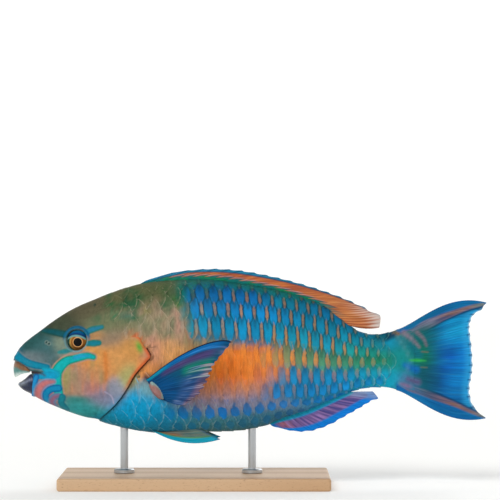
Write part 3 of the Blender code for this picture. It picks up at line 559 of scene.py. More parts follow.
BODY_MARKS = [
    ([(-67.2, -8.9, 0.8), (-64.6, -9.8, 1.2)], "#08263f", 0.9),
    ([(-67.6, -12, 0.5), (-63.6, -11.8, 0.9)], "#0d7f98", 0.9),
    ([(-79, 41.8, 1.6), (-76.4, 37.6, 2.2)], "#1f4a30", 2),
    ([(-72.8, 42.6, 1.6), (-70.2, 40.4, 1.5)], "#1f5030", 1.8),
    ([(-90.6, 36.6, 1.2), (-87.2, 35.9, 1.3)], "#245a34", 1.4),
    ([(-98.2, 35.8, 0.7), (-97, 35.4, 0.8)], "#123830", 1),
    ([(-86.4, 31.6, 1.2), (-85.4, 27.4, 1.5)], "#2f6a44", 1.6),
    ([(-80.4, 29, 1.8), (-75.4, 29.2, 2)], "#426550", 1.7),
    ([(-66, 34, 1.2), (-64.4, 31, 1.4)], "#7a7440", 1.6),
    ([(-46.6, 39.8, 1.6), (-45, 35.4, 1.8)], "#356a34", 1.8),
    ([(-44.6, 45.4, 1.8), (-41.6, 40.4, 2.3)], "#04604e", 2),
]
MOUTH_CREASE_SHADE = "#3a1f22"
GILL_SLIT_SHADOW = "#4a241d"
GILL_SLIT_SHADOW_LOW = "#17505a"
OPERCLE_EDGE = "#c85a30"
OPERCLE_SPOT = "#5f9b3c"
ORBIT_BLUE = "#045a7c"
ORBIT_PALE = "#5f8f98"


def dabbed(colours, coats):
    """Lays coats of paint over colours in turn, each as how far it covers and its colour."""
    for cover, colour in coats:
        cover = np.clip(cover, 0, 1)[:, None]
        colours = colours * (1 - cover) + np.array(linear(colour)[:3]) * cover
    return colours


def stroke(places, line, soft):
    """How far a soft stroke along a line of (x, height, half width) covers, and the share along it."""
    eased_line = eased(line, 4 * len(line) + 4)
    away, share = nearest(places, eased_line)
    width = np.interp(share, np.linspace(0, 1, len(eased_line)), eased_line[:, 2])
    return 1 - smooth(-soft, soft, away - width), share


def brushed(places, marks):
    """The coats of some strokes, each a line, a colour and how soft its edge is."""
    return [(stroke(places, line, soft)[0], colour) for line, colour, soft in marks]


def widened(line, more):
    """A stroke's line with more half width."""
    return [(x, height, max(half + more, 0.15)) for x, height, half in line]


def head_markings(colours, points, side):
    """Paints the face's bands, the eye's ring and the gill cover's edge over the ground colours, and
    painted shade in the mouth's crease, the nostrils' pits and the gill slit.
    """
    places = points[:, [0, 2]]
    x, height = places.T
    cheek = np.exp(-((x + 103) / 17) ** 4 - ((height + 7) / 12) ** 4)
    streak = 0.6 * streaks(height, x, 9, 1.1, 3) + streaks(height, x, 9, 3.4, 4) - 0.8
    colours = dabbed(colours, [
        (cheek * streak * 1.1, "#d0804c"),
        (-cheek * streak * 1, "#88865c")])
    mottle = streaks(x, height, 3, 2.2, 8) - 0.5
    colours = colours * (1 + 0.16 * mottle[:, None])
    preopercle = bell(x + 90.6 + 0.02 * (height + 4) ** 2 * 0.3, 1.7)
    preopercle *= smooth(-17, -8, height) * smooth(9, 5, height)
    bands = []
    for line, core, edge, halo in FACE_BANDS:
        if halo:
            bands.append((widened(line, 0.9), halo, 0.45))
        bands += [(widened(line, 0.15), edge, 0.4), (widened(line, -0.75), core, 0.6)]
    colours = dabbed(colours, [(preopercle * 0.65, "#c8702c"), *brushed(places, bands)])
    apart, ring = from_eye(points, side)
    over_eye = smooth(-2, 3.5, apart[:, 2])
    # The crease behind the mouth's corner gets painted shade, darkest at the corner.
    away, along = nearest(places, eased(MOUTH_CREASE))
    colours = dabbed(colours, [
        (np.exp(-((ring - 8.1) / 1.1) ** 4) * over_eye, ORBIT_BLUE),
        (bell(ring - 7.3, 0.6) * (0.85 - 0.75 * over_eye), ORBIT_PALE),
        (bell(away, 0.9) * (1 - 0.5 * along), MOUTH_CREASE_SHADE)])
    for px, pz in NOSTRILS:
        pit = np.hypot(x - px, height - pz)
        # Painted shade in each nostril's pit, and a pale ring on its raised rim.
        colours = dabbed(colours, [
            (0.8 * bell(pit, 0.5), "#16211f"),
            (0.35 * bell(pit - 1, 0.35), "#98a596")])
    away, _ = nearest(places, gill_line)
    inside = x < gill_x(height)
    low = smooth(-16, -26, height)
    edge = np.where(inside, bell(away - 0.6, 1.3), 0) * smooth(-22, -8, height)
    behind, above = x + 69.6, height - 9.6
    spot = np.exp(-((behind / 2) ** 2 + (above / 3.2) ** 2 + 0.14 * behind * above))
    # Painted shadow in the gill slit behind the cover's edge: dark red brown above and dark teal low down.
    slot = np.where(inside, 0, bell(away, 1.1)) * smooth(GILL_TOP, GILL_TOP - 4, height)
    return dabbed(colours, [
        (edge * 0.85 * smooth(21, 17, height), OPERCLE_EDGE),
        (spot, OPERCLE_SPOT),
        (slot * (1 - low), GILL_SLIT_SHADOW),
        (slot * low, GILL_SLIT_SHADOW_LOW)])


def add_colour(obj, name, colours, alpha=None):
    """Stores linear colours as a colour attribute of an object's points."""
    attribute = obj.data.attributes.new(name, "FLOAT_COLOR", "POINT")
    alpha = np.ones(len(colours)) if alpha is None else alpha
    attribute.data.foreach_set("color", np.column_stack([colours, alpha]).ravel().astype(np.float32))


def painted(points, side_of=None):
    """The full paint of the skin at points, with the face's markings."""
    side = np.sign(points[:, 1]) if side_of is None else np.full(len(points), side_of)
    places = points[:, [0, 2]]
    x, height = places.T
    colours = airbrushed(places, GROUND_PASSES)
    streak = streaks(height, x, 8, 1.8, 14) - 0.5
    shoulder = np.exp(-((x + 54) / 20) ** 4 - ((height - 24) / 15) ** 4)
    patch = np.exp(-((x + 8) / 24) ** 4 - ((height + 4) / 13) ** 4)
    blotch = streaks(x, height, 6, 4.5, 15) - 0.56
    nape = np.exp(-((x + 76) / 26) ** 4 - ((height - 36) / 12) ** 4)
    colours = dabbed(colours, [
        (shoulder * streak * 1.9, "#b08472"),
        (-shoulder * streak * 1.7, "#4f6448"),
        (patch * streak * 1.2, "#f2a044"),
        (-patch * streak * 1.2, "#b8552c"),
        (nape * blotch * 4, "#1f5634")])
    for one in (-1, 1):
        here = (side == one) & (x < -40)
        if here.any():
            colours[here] = head_markings(colours[here], points[here], one)
    return dabbed(colours, brushed(places, BODY_MARKS + TAIL_MARKS))


skin_points = places_of(skin)
skin_points[:, 1] = np.where(skin_points[:, 1] == 0, -1e-6, skin_points[:, 1])
add_colour(skin, "Paint", painted(skin_points))

# Finish of the skin: airbrushed acrylic under satin varnish, softly mottled, with fine pores that
# break up its highlights.
SKIN_MOTTLE = 2.4        # mm across a soft mottle in the paint
SKIN_PORE = 0.45         # mm between pores, coarser than life so that they show
VARNISH = {"Specular IOR Level": 0.06, "Coat Weight": 0.04, "Coat Roughness": 0.2}
TINT = {"data_type": "RGBA", "blend_type": "MULTIPLY"}
on_skin = node(skin_paint, "TexCoord", {}, "Object")
paint = node(skin_paint, "Attribute", {}, "Color", attribute_name="Paint")
mottle = node(skin_paint, "TexNoise", {
    "Vector": on_skin, "Scale": 1 / (SKIN_MOTTLE * MM), "Detail": 4, "Roughness": 0.6}, "Fac")
mottle_tone = node(skin_paint, "MapRange", {
    "Value": mottle, "From Min": 0.3, "From Max": 0.7, "To Min": 0.86, "To Max": 1.12})
mottled = node(skin_paint, "Mix", {"Factor": 1, "A": paint, "B": mottle_tone}, **TINT)
pores = node(skin_paint, "TexNoise", {"Vector": on_skin, "Scale": 1 / (SKIN_PORE * MM), "Detail": 2}, "Fac")
pore_bump = node(skin_paint, "Bump", {"Height": pores, "Strength": 0.22, "Distance": 0.0002})
gloss = node(skin_paint, "MapRange", {"Value": mottle, "To Min": 0.34, "To Max": 0.52})
coat_with(skin_paint, {"Base Color": mottled, "Roughness": gloss, "Normal": pore_bump, **VARNISH})
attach(skin, "root")
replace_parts(skin, "head", "jaw_lower", "trunk", "tail_stalk")

# Gill covers: a thin bony flap on each cheek, cast on its own and let into the head. It's flush with
# the cheek in front, and its rounded rear edge stands free over the gill slit.
GILL_FRONT = [(-98.5, -37), (-96.5, -32), (-91.5, -20), (-90.3, -6), (-90, 5), (-88, 15.5), (-84, 18.2)]
GILL_FOOT = -36.5
FLAP_LIFT = 1.25         # how far the flap's rear edge stands over the skin
FLAP_SUNK = 0.45         # and how deep its front edge is let in
FLAP_THICKNESS = 0.9
FLAP_LEVELS = 110
FLAP_STEPS = 60


def flap_offset(q, level):
    """Height of a gill cover over the plain body; q is 0 at its front edge and 1 at its rear."""
    rise = -FLAP_SUNK + FLAP_SUNK * smooth(0, 0.22, q) + (FLAP_LIFT - 0.1) * smooth(0.35, 1.05, q) ** 1.2
    let_in = smooth(0, 0.1, level) * smooth(1, 0.8, level)
    return rise * let_in - FLAP_SUNK * (1 - let_in)


def make_flap(name, side):
    """One gill cover, laid over the body between its front line and the gill slit."""
    levels = np.linspace(0, 1, FLAP_LEVELS)
    heights = GILL_TOP + (GILL_FOOT - GILL_TOP) * levels
    front_line = np.array(sorted(GILL_FRONT, key=lambda point: point[1]))
    front = np.interp(heights, front_line[:, 1], front_line[:, 0])
    rear = gill_x(heights)
    edge_turn = np.array([0.985, 0.995, 1])
    out_q = np.concatenate([np.linspace(0, 0.975, FLAP_STEPS), edge_turn])
    q = np.concatenate([out_q, out_q[::-1], [0]])
    inner = np.concatenate([np.zeros(len(out_q)), np.ones(len(out_q)), [0]])
    grid_q, grid_level = np.meshgrid(q, levels, indexing="ij")
    grid_x = front + (rear - front) * grid_q
    share = share_at(grid_x, np.broadcast_to(heights, grid_x.shape))
    offset = flap_offset(grid_q, grid_level)
    thin = smooth(0, 0.12, grid_q) * smooth(0, 0.1, grid_level) * smooth(1, 0.9, grid_level)
    rounded = np.sqrt(np.clip(1 - smooth(0.965, 1, grid_q) ** 2, 0, 1))
    layer = inner[:, None] * FLAP_THICKNESS * thin
    middle = FLAP_THICKNESS / 2 * thin * (1 - rounded)
    offset = offset - np.where(inner[:, None] > 0, layer - middle, middle)
    points = on_body(grid_x, share, side) + body_normal(grid_x, share, side) * offset[..., None]
    flap = wrapped_grid(name, points)
    add_colour(flap, "Paint", painted(places_of(flap), side))
    closed_up(flap, 2e-6)
    shade(flap, 60)
    flap.data.materials.append(skin_paint)
    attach(flap, "root")
    return flap


SIDES = (("left", -1), ("right", 1))
for word, side in SIDES:
    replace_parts(make_flap(f"opercle_{word}", side), f"gill_cover_{word}")

# Scales: large, thin and rounded, in slanting rows that overlap like tiles with their free edges to
# the rear. Each is pressed from sheet resin and glued on from the tail forwards. The laid coat is
# painted by hand with rows of blue spots, tan or orange bars between them, and fine pale edges.
SCALE_PITCH = [(-97, 8.8), (-45, 8.8), (-25, 8.3), (5, 7.9), (20, 7.5), (60, 7.3), (103, 6.4)]
SCALE_ANCHOR = 22.8      # a scale of the row along the lateral line is centred here
SCALE_SLANT = [(-97, 1.4), (-35, 1.1), (5, 0.65), (60, 0.3), (103, 0.2)]
LATERAL_ROW = 4
ROW_PLACES = [-95, -33, 25, 66, 97]
ROW_SHARES = {-1: [1.04, 1.07, 1.12, 1.30, 1.30], 0: [0.86, 0.89, 0.93, 1.10, 1.12],
              1: [0.66, 0.70, 0.76, 0.88, 0.90], 2: [0.48, 0.52, 0.53, 0.57, 0.60],
              3: [0.28, 0.307, 0.287, 0.225, 0.27], 4: [0.06, 0.07, -0.026, -0.10, -0.02],
              5: [-0.18, -0.18, -0.29, -0.42, -0.34], 6: [-0.41, -0.42, -0.515, -0.72, -0.66],
              7: [-0.63, -0.65, -0.71, -0.97, -0.95], 8: [-0.81, -0.83, -0.87, -1.15, -1.15],
              9: [-0.97, -0.99, -1.05, -1.30, -1.30]}
SCALE_TIP = 0.62         # free edge behind the scale's centre, in pitches
SCALE_ROOT = 1.2         # hidden edge ahead of it
SCALE_LIFT = 0.55        # mm that the tip stands over the body
SCALE_SUNK = 0.35
SCALE_EDGE = 0.24        # mm thick at its free edge
SCALE_RELIEF = [(-97, 0.3), (-70, 0.4), (-45, 0.6), (-20, 0.8), (75, 0.7), (98, 0.25)]
SCALED_FROM = [(60, -97), (42, -97), (33, -95), (25, -86), (18.4, -77)]
SCALED_TO = [(-20, 82), (-8, 89), (0, 92.5), (8, 89), (20, 82)]
SLOT_CLEAR = 1.1         # mm behind the gill slit where the plates end
SLOT_MARGIN = 2.6        # mm behind the gill slit where the first scales are centred

bpy.ops.object.select_all(action="DESELECT")
bpy.ops.mesh.primitive_grid_add(x_subdivisions=4, y_subdivisions=8, size=2)
plate = bpy.context.object
bpy.ops.object.mode_set(mode="EDIT")
bpy.ops.mesh.select_all(action="SELECT")
bpy.ops.mesh.extrude_region_move(TRANSFORM_OT_translate={"value": (0, 0, 1)})
bpy.ops.mesh.select_all(action="DESELECT")
bpy.ops.mesh.select_mode(type="EDGE")
bpy.ops.mesh.select_non_manifold()
bpy.ops.mesh.edge_face_add()
bpy.ops.mesh.select_all(action="SELECT")
bpy.ops.mesh.normals_make_consistent(inside=False)
bpy.ops.object.mode_set(mode="OBJECT")
plate_points = np.array([vertex.co[:] for vertex in plate.data.vertices])
plate_faces = [list(face.vertices) for face in plate.data.polygons]
bpy.data.objects.remove(plate)
AHEAD = np.array([0, 0.44, 0.55, 0.77, 1])    # where a plate's rows of points lie along it
plate_along = np.interp(plate_points[:, 0], np.linspace(-1, 1, 5), AHEAD)
plate_across = plate_points[:, 1]
plate_top = plate_points[:, 2] > 0.5

pitch_at, slant_at, relief_at = map(curve_through, (SCALE_PITCH, SCALE_SLANT, SCALE_RELIEF))
row_share = {row: curve_through(list(zip(ROW_PLACES, shares))) for row, shares in ROW_SHARES.items()}


def row_at(row, x):
    """The share of the girth at a row, also for the rows past the first and the last."""
    rows = sorted(row_share)
    if row < rows[0]:
        return 2 * row_share[rows[0]](x) - row_share[rows[0] + 1](x)
    if row > rows[-1]:
        return 2 * row_share[rows[-1]](x) - row_share[rows[-1] - 1](x)
    return row_share[row](x)


def half_steps():
    """Places of the slanting columns of scales at the lateral row, by number."""
    places = {0: SCALE_ANCHOR}
    for direction in (-1, 1):
        number, x = 0, SCALE_ANCHOR
        while BODY_FRONT + 40 < x < BODY_END + 12:
            x += direction * float(pitch_at(x)) / 2
            number += direction
            places[number] = x
    return places


def scale_places():
    """Every scale of one side, from the tail forwards, by (number of its column, row): its x, its share
    of the girth and its height."""
    found = {}
    limit_heights, limit_xs = np.array(sorted(SCALED_FROM)).T
    end_heights, end_xs = np.array(SCALED_TO).T
    for number, step in sorted(half_steps().items(), reverse=True):
        for row in ROW_SHARES:
            x = step + (row - LATERAL_ROW) * float(slant_at(step))
            if (number - row) % 2 or x > BODY_END:
                continue
            share = float(row_at(row, x))
            if abs(share) > 1.04:
                continue
            height = float(on_body(x, share, 1)[2])
            ahead = np.interp(height, limit_heights, limit_xs)
            if height < GILL_TOP:
                ahead = float(gill_x(height)) + SLOT_MARGIN
            if ahead < x < np.interp(height, end_heights, end_xs):
                found[number, row] = (x, share, height)
    return found


def scale_tip(b):
    """Where a scale's free edge lies at a place across it, in pitches behind its centre."""
    return SCALE_TIP * (1 - np.abs(b) ** 2.2)


# Colours of the scales by row, as (x, colour, strength) along the fish: the blue spots, which are
# green along the lateral line and faint orange on the orange patch, and the bars between them.
# They're painted on after the scales are laid, so that they run over the scales' edges.
SPOTS = {
    -1: [(-60, "#4f6a45", 0), (-30, "#147a70", 0.3), (103, "#127a72", 0.4)],
    0: [(-47, "#1c7d62", 0), (-42, "#1c7d62", 0.3), (-20, "#0a7c84", 0.4), (30, "#0a7c74", 0.45),
        (60, "#0c6a80", 0.75), (103, "#0a4f6c", 0.7)],
    1: [(-46, "#17887c", 0), (-42, "#0f7a80", 0.6), (-38, "#0a6aaa", 1), (2, "#0a6aae", 1),
        (20, "#0f7b96", 0.85), (45, "#0b70a2", 0.9), (70, "#0a6f94", 0.85), (86, "#0a6f80", 0.4),
        (103, "#0b6f80", 0.2)],
    2: [(-44, "#1a9298", 0), (-40, "#1488a0", 0.6), (-36, "#0a7fc0", 1), (8, "#0b84c6", 1),
        (30, "#0d86b6", 0.95), (64, "#0f8cac", 0.9), (80, "#0f8c9c", 0.55), (92, "#0f8690", 0.15)],
    3: [(-42, "#2a9a98", 0), (-38, "#1a9aa8", 0.6), (-35, "#0a98c6", 1), (0, "#0a93ca", 1),
        (30, "#1494b2", 0.95), (50, "#1592b4", 0.9), (64, "#1a9ea0", 0.85), (78, "#149a8c", 0.5),
        (92, "#15908c", 0.15)],
    4: [(-34, "#f08434", 0), (-26, "#f4822c", 0.2), (-3, "#f08434", 0.2), (7, "#8a9468", 0.25),
        (20, "#7f9a6c", 0.6), (34, "#6f9c70", 0.6), (46, "#4f9c78", 0.7),
        (60, "#449a78", 0.7), (78, "#1a8a60", 0.5), (92, "#128a60", 0.1)],
    5: [(-34, "#f47a20", 0), (-26, "#f47a20", 0.35), (0, "#f08030", 0.35), (9, "#9a7c80", 0.2),
        (18, "#5a84a8", 0.6), (25, "#1a8ac2", 0.95),
        (60, "#1290c8", 0.95), (72, "#1094bc", 0.8), (84, "#109cb0", 0.4), (93, "#1288a4", 0.1)],
    6: [(-64, "#1a86ac", 0), (-20, "#6f789c", 0.15), (6, "#6a78a0", 0.2), (15, "#1a80c4", 0.9),
        (60, "#108cd0", 1), (103, "#127fb8", 0.5)],
    7: [(-60, "#0a86bc", 0), (-46, "#0a78c8", 0.8), (-20, "#0a74c4", 0.9), (0, "#0a74c0", 0.85),
        (60, "#0a78c4", 0.8), (103, "#0c7cb8", 0.4)],
    8: [(-64, "#0a84ac", 0), (-46, "#087ab0", 0.6), (-20, "#1576a4", 0.6), (0, "#1870a0", 0.5),
        (20, "#1062a0", 0.6), (103, "#1064a0", 0.4)],
    9: [(-95, "#17687a", 0), (0, "#2a6074", 0.1), (103, "#2a6074", 0.2)],
}
BARS = {
    0: [(-40, "#5f7a50", 0), (-20, "#5f7a50", 0.15), (60, "#7a6a48", 0.4), (103, "#5f6a50", 0.3)],
    1: [(-44, "#8f8468", 0), (-34, "#4a6f68", 0.3), (-20, "#7d7466", 0.6), (-8, "#a07460", 0.8),
        (30, "#98745a", 0.75),
        (62, "#947c68", 0.6), (80, "#5f8a70", 0.3), (90, "#7f7f60", 0)],
    2: [(-44, "#a09a88", 0), (-36, "#8f8f84", 0.4), (-30, "#a89488", 0.7), (-5, "#b8886c", 0.85),
        (30, "#a47a58", 0.75),
        (64, "#a88460", 0.7), (80, "#6f9470", 0.3), (90, "#8f9a80", 0)],
    3: [(-44, "#a8a498", 0.2), (-32, "#a8a69c", 0.7), (-5, "#bc9878", 0.85), (30, "#b8844c", 0.8),
        (60, "#bc8a5c", 0.85), (75, "#b09058", 0.6), (88, "#8fa080", 0)],
    4: [(-44, "#d0904c", 0.2), (0, "#f08c34", 0.7), (25, "#ee9040", 0.95), (50, "#c08a50", 0.85),
        (64, "#a08450", 0.7), (78, "#a88c4c", 0.6), (90, "#7a8a50", 0)],
    5: [(-44, "#c87a40", 0.2), (0, "#ee8434", 0.6), (20, "#cc7840", 0.75), (34, "#a87464", 0.7),
        (50, "#a07880", 0.65), (78, "#8a8c90", 0.45), (90, "#8f9a90", 0)],
    6: [(-44, "#b07a70", 0.2), (0, "#b07058", 0.5), (20, "#8f7470", 0.65), (36, "#7f88a0", 0.5),
        (60, "#7f90b0", 0.45), (90, "#8f9ab0", 0)],
    7: [(-90, "#5aaed0", 0), (0, "#7f7f90", 0.4), (60, "#7f88a8", 0.4), (90, "#8f9ab0", 0)],
}
EDGES = [
    ((-90, 45), "#7a7f60", 0.4), ((-62, 30), "#a89c82", 0.5), ((-50, 12), "#c8a080", 0.35),
    ((-70, -28), "#5ab0d0", 0.8), ((-50, -36), "#7fb0b8", 0.8), ((-30, -42), "#7f9ea4", 0.7),
    ((-15, -10), "#f0a050", 0.25), ((-10, 30), "#2f7f88", 0.05), ((40, 25), "#2a7f78", 0.05),
    ((30, -25), "#4f90b4", 0.15), ((82, 5), "#4fae8c", 0.4), ((97, -8), "#7fb8c0", 0.6),
    ((97, 10), "#6aa8a8", 0.5), ((0, -36), "#6f93a4", 0.5)]

# Half the length of a spot and of a bar by row, in half pitches, and half the height of a spot in rows.
SPOT_HALF = [(3.2, 0.66), (4, 0.55), (5, 0.58), (6, 0.6), (7, 0.76), (8, 0.62)]
BAR_HALF = [(3.2, 0.23), (4, 0.44), (5, 0.36), (6, 0.26), (7, 0.24)]
SPOT_HIGH = [(5.8, 0.66), (6.35, 0.54), (6.65, 0.38), (7.4, 0.36), (8, 0.5)]


def row_paint(table, x, row):
    """Linear colours and strengths at x and at rows in between, from lines of (x, colour, strength)."""
    values = np.zeros((len(x), 4))
    for number, line in table.items():
        weight = np.clip(1 - np.abs(row - number), 0, 1)
        xs, hexes, strengths = zip(*line)
        knots = np.column_stack([np.array([linear(colour)[:3] for colour in hexes]), strengths])
        values += weight[:, None] * np.stack([np.interp(x, xs, channel) for channel in knots.T], 1)
    return values


def edge_paint(x, height):
    """The colours and strengths of the pale edges of scales."""
    values = np.zeros((len(x), 5))
    for (px, pz), colour, strength in EDGES:
        weight = np.exp(-((x - px) / 18) ** 2 - ((height - pz) / 9) ** 2) + 1e-6
        values += weight[:, None] * np.array([*linear(colour)[:3], strength, 1])
    return values[:, :4] / values[:, 4:]


def nearest_spot(net, x):
    """The (column, row) of the spot that each place on the net of scales is nearest to, and how much of
    its paint reaches that far. A spot that isn't painted leaves its room to its neighbours."""
    rows = np.floor(net[:, 1]) + np.array([[0], [1]])
    columns = rows + 2 * np.round((net[:, 0] - rows) / 2)
    away = np.hypot(net[:, 0] - columns, net[:, 1] - rows)
    bare = np.stack([row_paint(SPOTS, x, row)[:, 3] for row in rows]) < 0.45
    chosen = (away + 0.6 * bare).argmin(0)
    pick = chosen, np.arange(len(net))
    reach = np.where(chosen == away.argmin(0), 1, smooth(1, 0.65, away[pick]))
    return columns[pick].astype(int), rows[pick].astype(int), reach


def add_marks(obj, name, vectors):
    """Stores three values on each of an object's points, for its paint to go by."""
    marks = obj.data.attributes.new(name, "FLOAT_VECTOR", "POINT")
    marks.data.foreach_set("vector", vectors.ravel().astype(np.float32))


def paint_scales(coat, net, ground, random):
    """Stores the paint of the spots, which differ a little by chance, the bars and the pale edges, for
    points at places on the net of scales and on the fish."""
    column, row, spot_reach = nearest_spot(net, ground[:, 0])
    chance = random.random((400, 40, 2))[column + 200, row + 10]
    spot, bar = row_paint(SPOTS, ground[:, 0], row), row_paint(BARS, ground[:, 0], net[:, 1])
    spot[:, :3] *= 0.84 + 0.3 * chance[:, :1]
    spot[:, 3] *= (0.8 + 0.25 * chance[:, 1]) * spot_reach
    bar[:, 3] *= 0.6 + 0.45 * random.random(400)[np.floor(net[:, 0] + 200).astype(int)]
    for title, values in (("Spot", spot), ("Bar", bar), ("Edge", edge_paint(ground[:, 0], ground[:, 2]))):
        add_colour(coat, title, values[:, :3], np.clip(values[:, 3], 0, 1))


def make_scales(name, side, seed):
    """All the scales of one side as one mesh of overlapping plates."""
    random = np.random.default_rng(seed)
    points, faces, bake, places, net, ground = [], [], [], [], [], []
    found = scale_places()
    b = plate_across
    for (number, row), (x, share, height) in found.items():
        pitch, slant = float(pitch_at(x)), float(slant_at(x))
        wide = float(row_at(row - 1, x) - row_at(row + 1, x)) / 2
        turn = random.normal(0, 0.025)
        relief = float(relief_at(x)) * random.uniform(0.85, 1.1)
        tip = scale_tip(b) + random.normal(0, 0.012)
        root = -SCALE_ROOT + 0.25 * b ** 2
        a = root + (tip - root) * plate_along
        at_x = x + a * pitch + turn * b * pitch
        at_share = share + (b - turn * a) * wide
        lift = -SCALE_SUNK + (SCALE_LIFT + SCALE_SUNK) * (a + SCALE_ROOT) / (SCALE_ROOT + SCALE_TIP)
        lift = np.where(lift > 0, lift * relief, lift)
        if height < GILL_TOP:
            slot_x = gill_x(on_body(at_x, np.clip(at_share, -1, 1), 1)[:, 2]) + SLOT_CLEAR
            lift = np.where(at_x < slot_x + 4, lift * smooth(0, 4, at_x - slot_x) - 0.2, lift)
            at_x = np.maximum(at_x, slot_x)
        lift = lift - np.where(plate_top, 0, SCALE_EDGE * max(relief, 0.5))
        at_share = np.clip(at_share, -1, 1)
        surface = on_body(at_x, at_share, side)
        placed = surface + body_normal(at_x, at_share, side) * lift[:, None]
        start = len(points) * len(plate_points)
        faces += [[start + i for i in (face if side < 0 else face[::-1])] for face in plate_faces]
        points.append(placed)
        # A plate with every plate ahead of it in place keeps its whole front, which gets painted shade under
        # their free edges; any other plate gets none.
        over_it = ((number - 2, row), (number - 1, row - 1), (number - 1, row + 1))
        tucked = all(ahead in found for ahead in over_it)
        in_dark = smooth(7.3, 6, row - b) * (1 - 0.5 * smooth(3.3, 4.2, row - b))
        places.append(np.stack([a if tucked else np.maximum(a, -0.15), tip - a, in_dark], 1))
        net.append(np.stack([number + 2 * (at_x - x + b * slant) / pitch, row - b + turn * a, 0 * a], 1))
        ground.append(surface)
        bake.append(np.stack([(x - BODY_FRONT) / 260 + a * pitch * 0.45 / 260,
                              0.5 + 0.47 * share + b * wide * 0.47 * 0.45], 1))
    mesh = bpy.data.meshes.new(name)
    flat = (np.concatenate(points) + (0, 0, AXIS_HEIGHT)) * MM
    mesh.from_pydata(flat.tolist(), [], faces)
    coat = bpy.data.objects.new(name, mesh)
    bpy.context.scene.collection.objects.link(coat)
    net, ground = np.concatenate(net), np.concatenate(ground)
    sizes = [np.interp(net[:, 1], *np.array(line).T) for line in (SPOT_HALF, BAR_HALF, SPOT_HIGH)]
    ovals = 1 / np.stack(sizes, 1)
    for title, values in (("ScalePlace", np.concatenate(places)), ("Net", net), ("Ovals", ovals)):
        add_marks(coat, title, values)
    add_colour(coat, "Ground", painted(ground, side))
    paint_scales(coat, net, ground, random)
    unwrapped = np.concatenate(bake)
    uv = mesh.uv_layers.new(name="OFBake")
    corners = np.empty(len(mesh.loops), int)
    mesh.loops.foreach_get("vertex_index", corners)
    uv.data.foreach_set("uv", unwrapped[corners].ravel().astype(np.float32))
    mesh.update()
    shade(coat, 40)
    coat.data.materials.append(scale_paint)
    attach(coat, "root")
    return coat


# Finish of the scales: acrylic under satin varnish. The spots are sprayed soft ovals in a darker
# surround, the bars between them are thinner, and fine growth rings, drawn at 0.35 mm so that they
# show, catch the light on each plate. The paint also holds painted shade at the front of each plate's
# bare part, under the free edge of the plate ahead, and painted shading on each spot, lighter at one
# end and darker at the other.
BAR_HIGH = 0.46          # half a bar's height, in rows
RING_SPACING = 0.045     # between growth rings, in pitches
PAINT_WAVER = 2.2        # mm across a break in the bars and the pale edges
PAINT_GRAIN = 0.5        # mm across a grain of the sprayed colour
SPOT_STRAY = 3.6         # mm over which the spots stray from their even net
STRAY_REACH = (0.32, 0.42, 0)      # how far they stray along and up, in half pitches and rows
BRUSH_HAIRS = (900, 900, 190)      # streaks of the brush per metre, along and up
DEEP_TINT = (0.8, 0.36, 0.3, 1)    # what the dark round a spot makes of its colour
# painted shade under the free edge of the plate ahead
UNDER_LIP_SHADE_TINT = (0.5, 0.53, 0.55, 1)
SPOT_SURROUND = (0.006, 0.045, 0.075, 1)
SOFT_EDGE = {"interpolation_type": "SMOOTHSTEP"}
TIMES = {"operation": "MULTIPLY"}
scale_paint = finish("varnished resin scale")
scale_place = node(scale_paint, "Attribute", {}, "Vector", attribute_name="ScalePlace")
along, to_edge, in_dark = node(scale_paint, "SeparateXYZ", {"Vector": scale_place}).node.outputs
on_fish = node(scale_paint, "TexCoord", {}, "Object")
waver = node(scale_paint, "TexNoise", {
    "Vector": on_fish, "Scale": 1 / (PAINT_WAVER * MM), "Detail": 3}, "Fac")
grain = node(scale_paint, "TexNoise", {
    "Vector": on_fish, "Scale": 1 / (PAINT_GRAIN * MM), "Detail": 2}, "Fac")
hairs_at = node(scale_paint, "Mapping", {"Vector": on_fish, "Scale": BRUSH_HAIRS})
hairs = node(scale_paint, "TexNoise", {"Vector": hairs_at, "Scale": 1, "Detail": 3}, "Fac")
net_at = node(scale_paint, "Attribute", {}, "Vector", attribute_name="Net")
strays = node(scale_paint, "TexNoise", {
    "Vector": on_fish, "Scale": 1 / (SPOT_STRAY * MM), "Detail": 1}, "Color")
strays = node(scale_paint, "VectorMath", {0: strays, 1: (0.5, 0.5, 0.5)}, operation="SUBTRACT")
net_at = node(scale_paint, "VectorMath", {0: strays, 1: STRAY_REACH, 2: net_at}, operation="MULTIPLY_ADD")
net_column, net_row, _ = node(scale_paint, "SeparateXYZ", {"Vector": net_at}).node.outputs
near_column = node(scale_paint, "Math", {0: net_column, 1: 1}, operation="PINGPONG")
near_row = node(scale_paint, "Math", {0: net_row, 1: 1}, operation="PINGPONG")
far_column = node(scale_paint, "Math", {0: 1, 1: near_column}, operation="SUBTRACT")
far_row = node(scale_paint, "Math", {0: 1, 1: near_row}, operation="SUBTRACT")
ovals_at = node(scale_paint, "Attribute", {}, "Vector", attribute_name="Ovals")
spot_half, bar_half, spot_high = node(scale_paint, "SeparateXYZ", {"Vector": ovals_at}).node.outputs
reaches = []
for wide, high, columns in ((spot_half, spot_high, (near_column, far_column)),
                            (bar_half, 1 / BAR_HIGH, (far_column, near_column))):
    size = node(scale_paint, "CombineXYZ", {"X": wide, "Y": high})
    ovals = []
    for column, row in zip(columns, (near_row, far_row)):
        place = node(scale_paint, "CombineXYZ", {"X": column, "Y": row})
        oval = node(scale_paint, "VectorMath", {0: place, 1: size}, **TIMES)
        ovals.append(node(scale_paint, "VectorMath", {0: oval}, "Value", operation="LENGTH"))
    reaches.append(node(scale_paint, "Math", {0: ovals[0], 1: ovals[1]}, operation="MINIMUM"))
in_spot = node(scale_paint, "MapRange", {
    "Value": reaches[0], "From Min": 1.12, "From Max": 0.82}, **SOFT_EDGE)
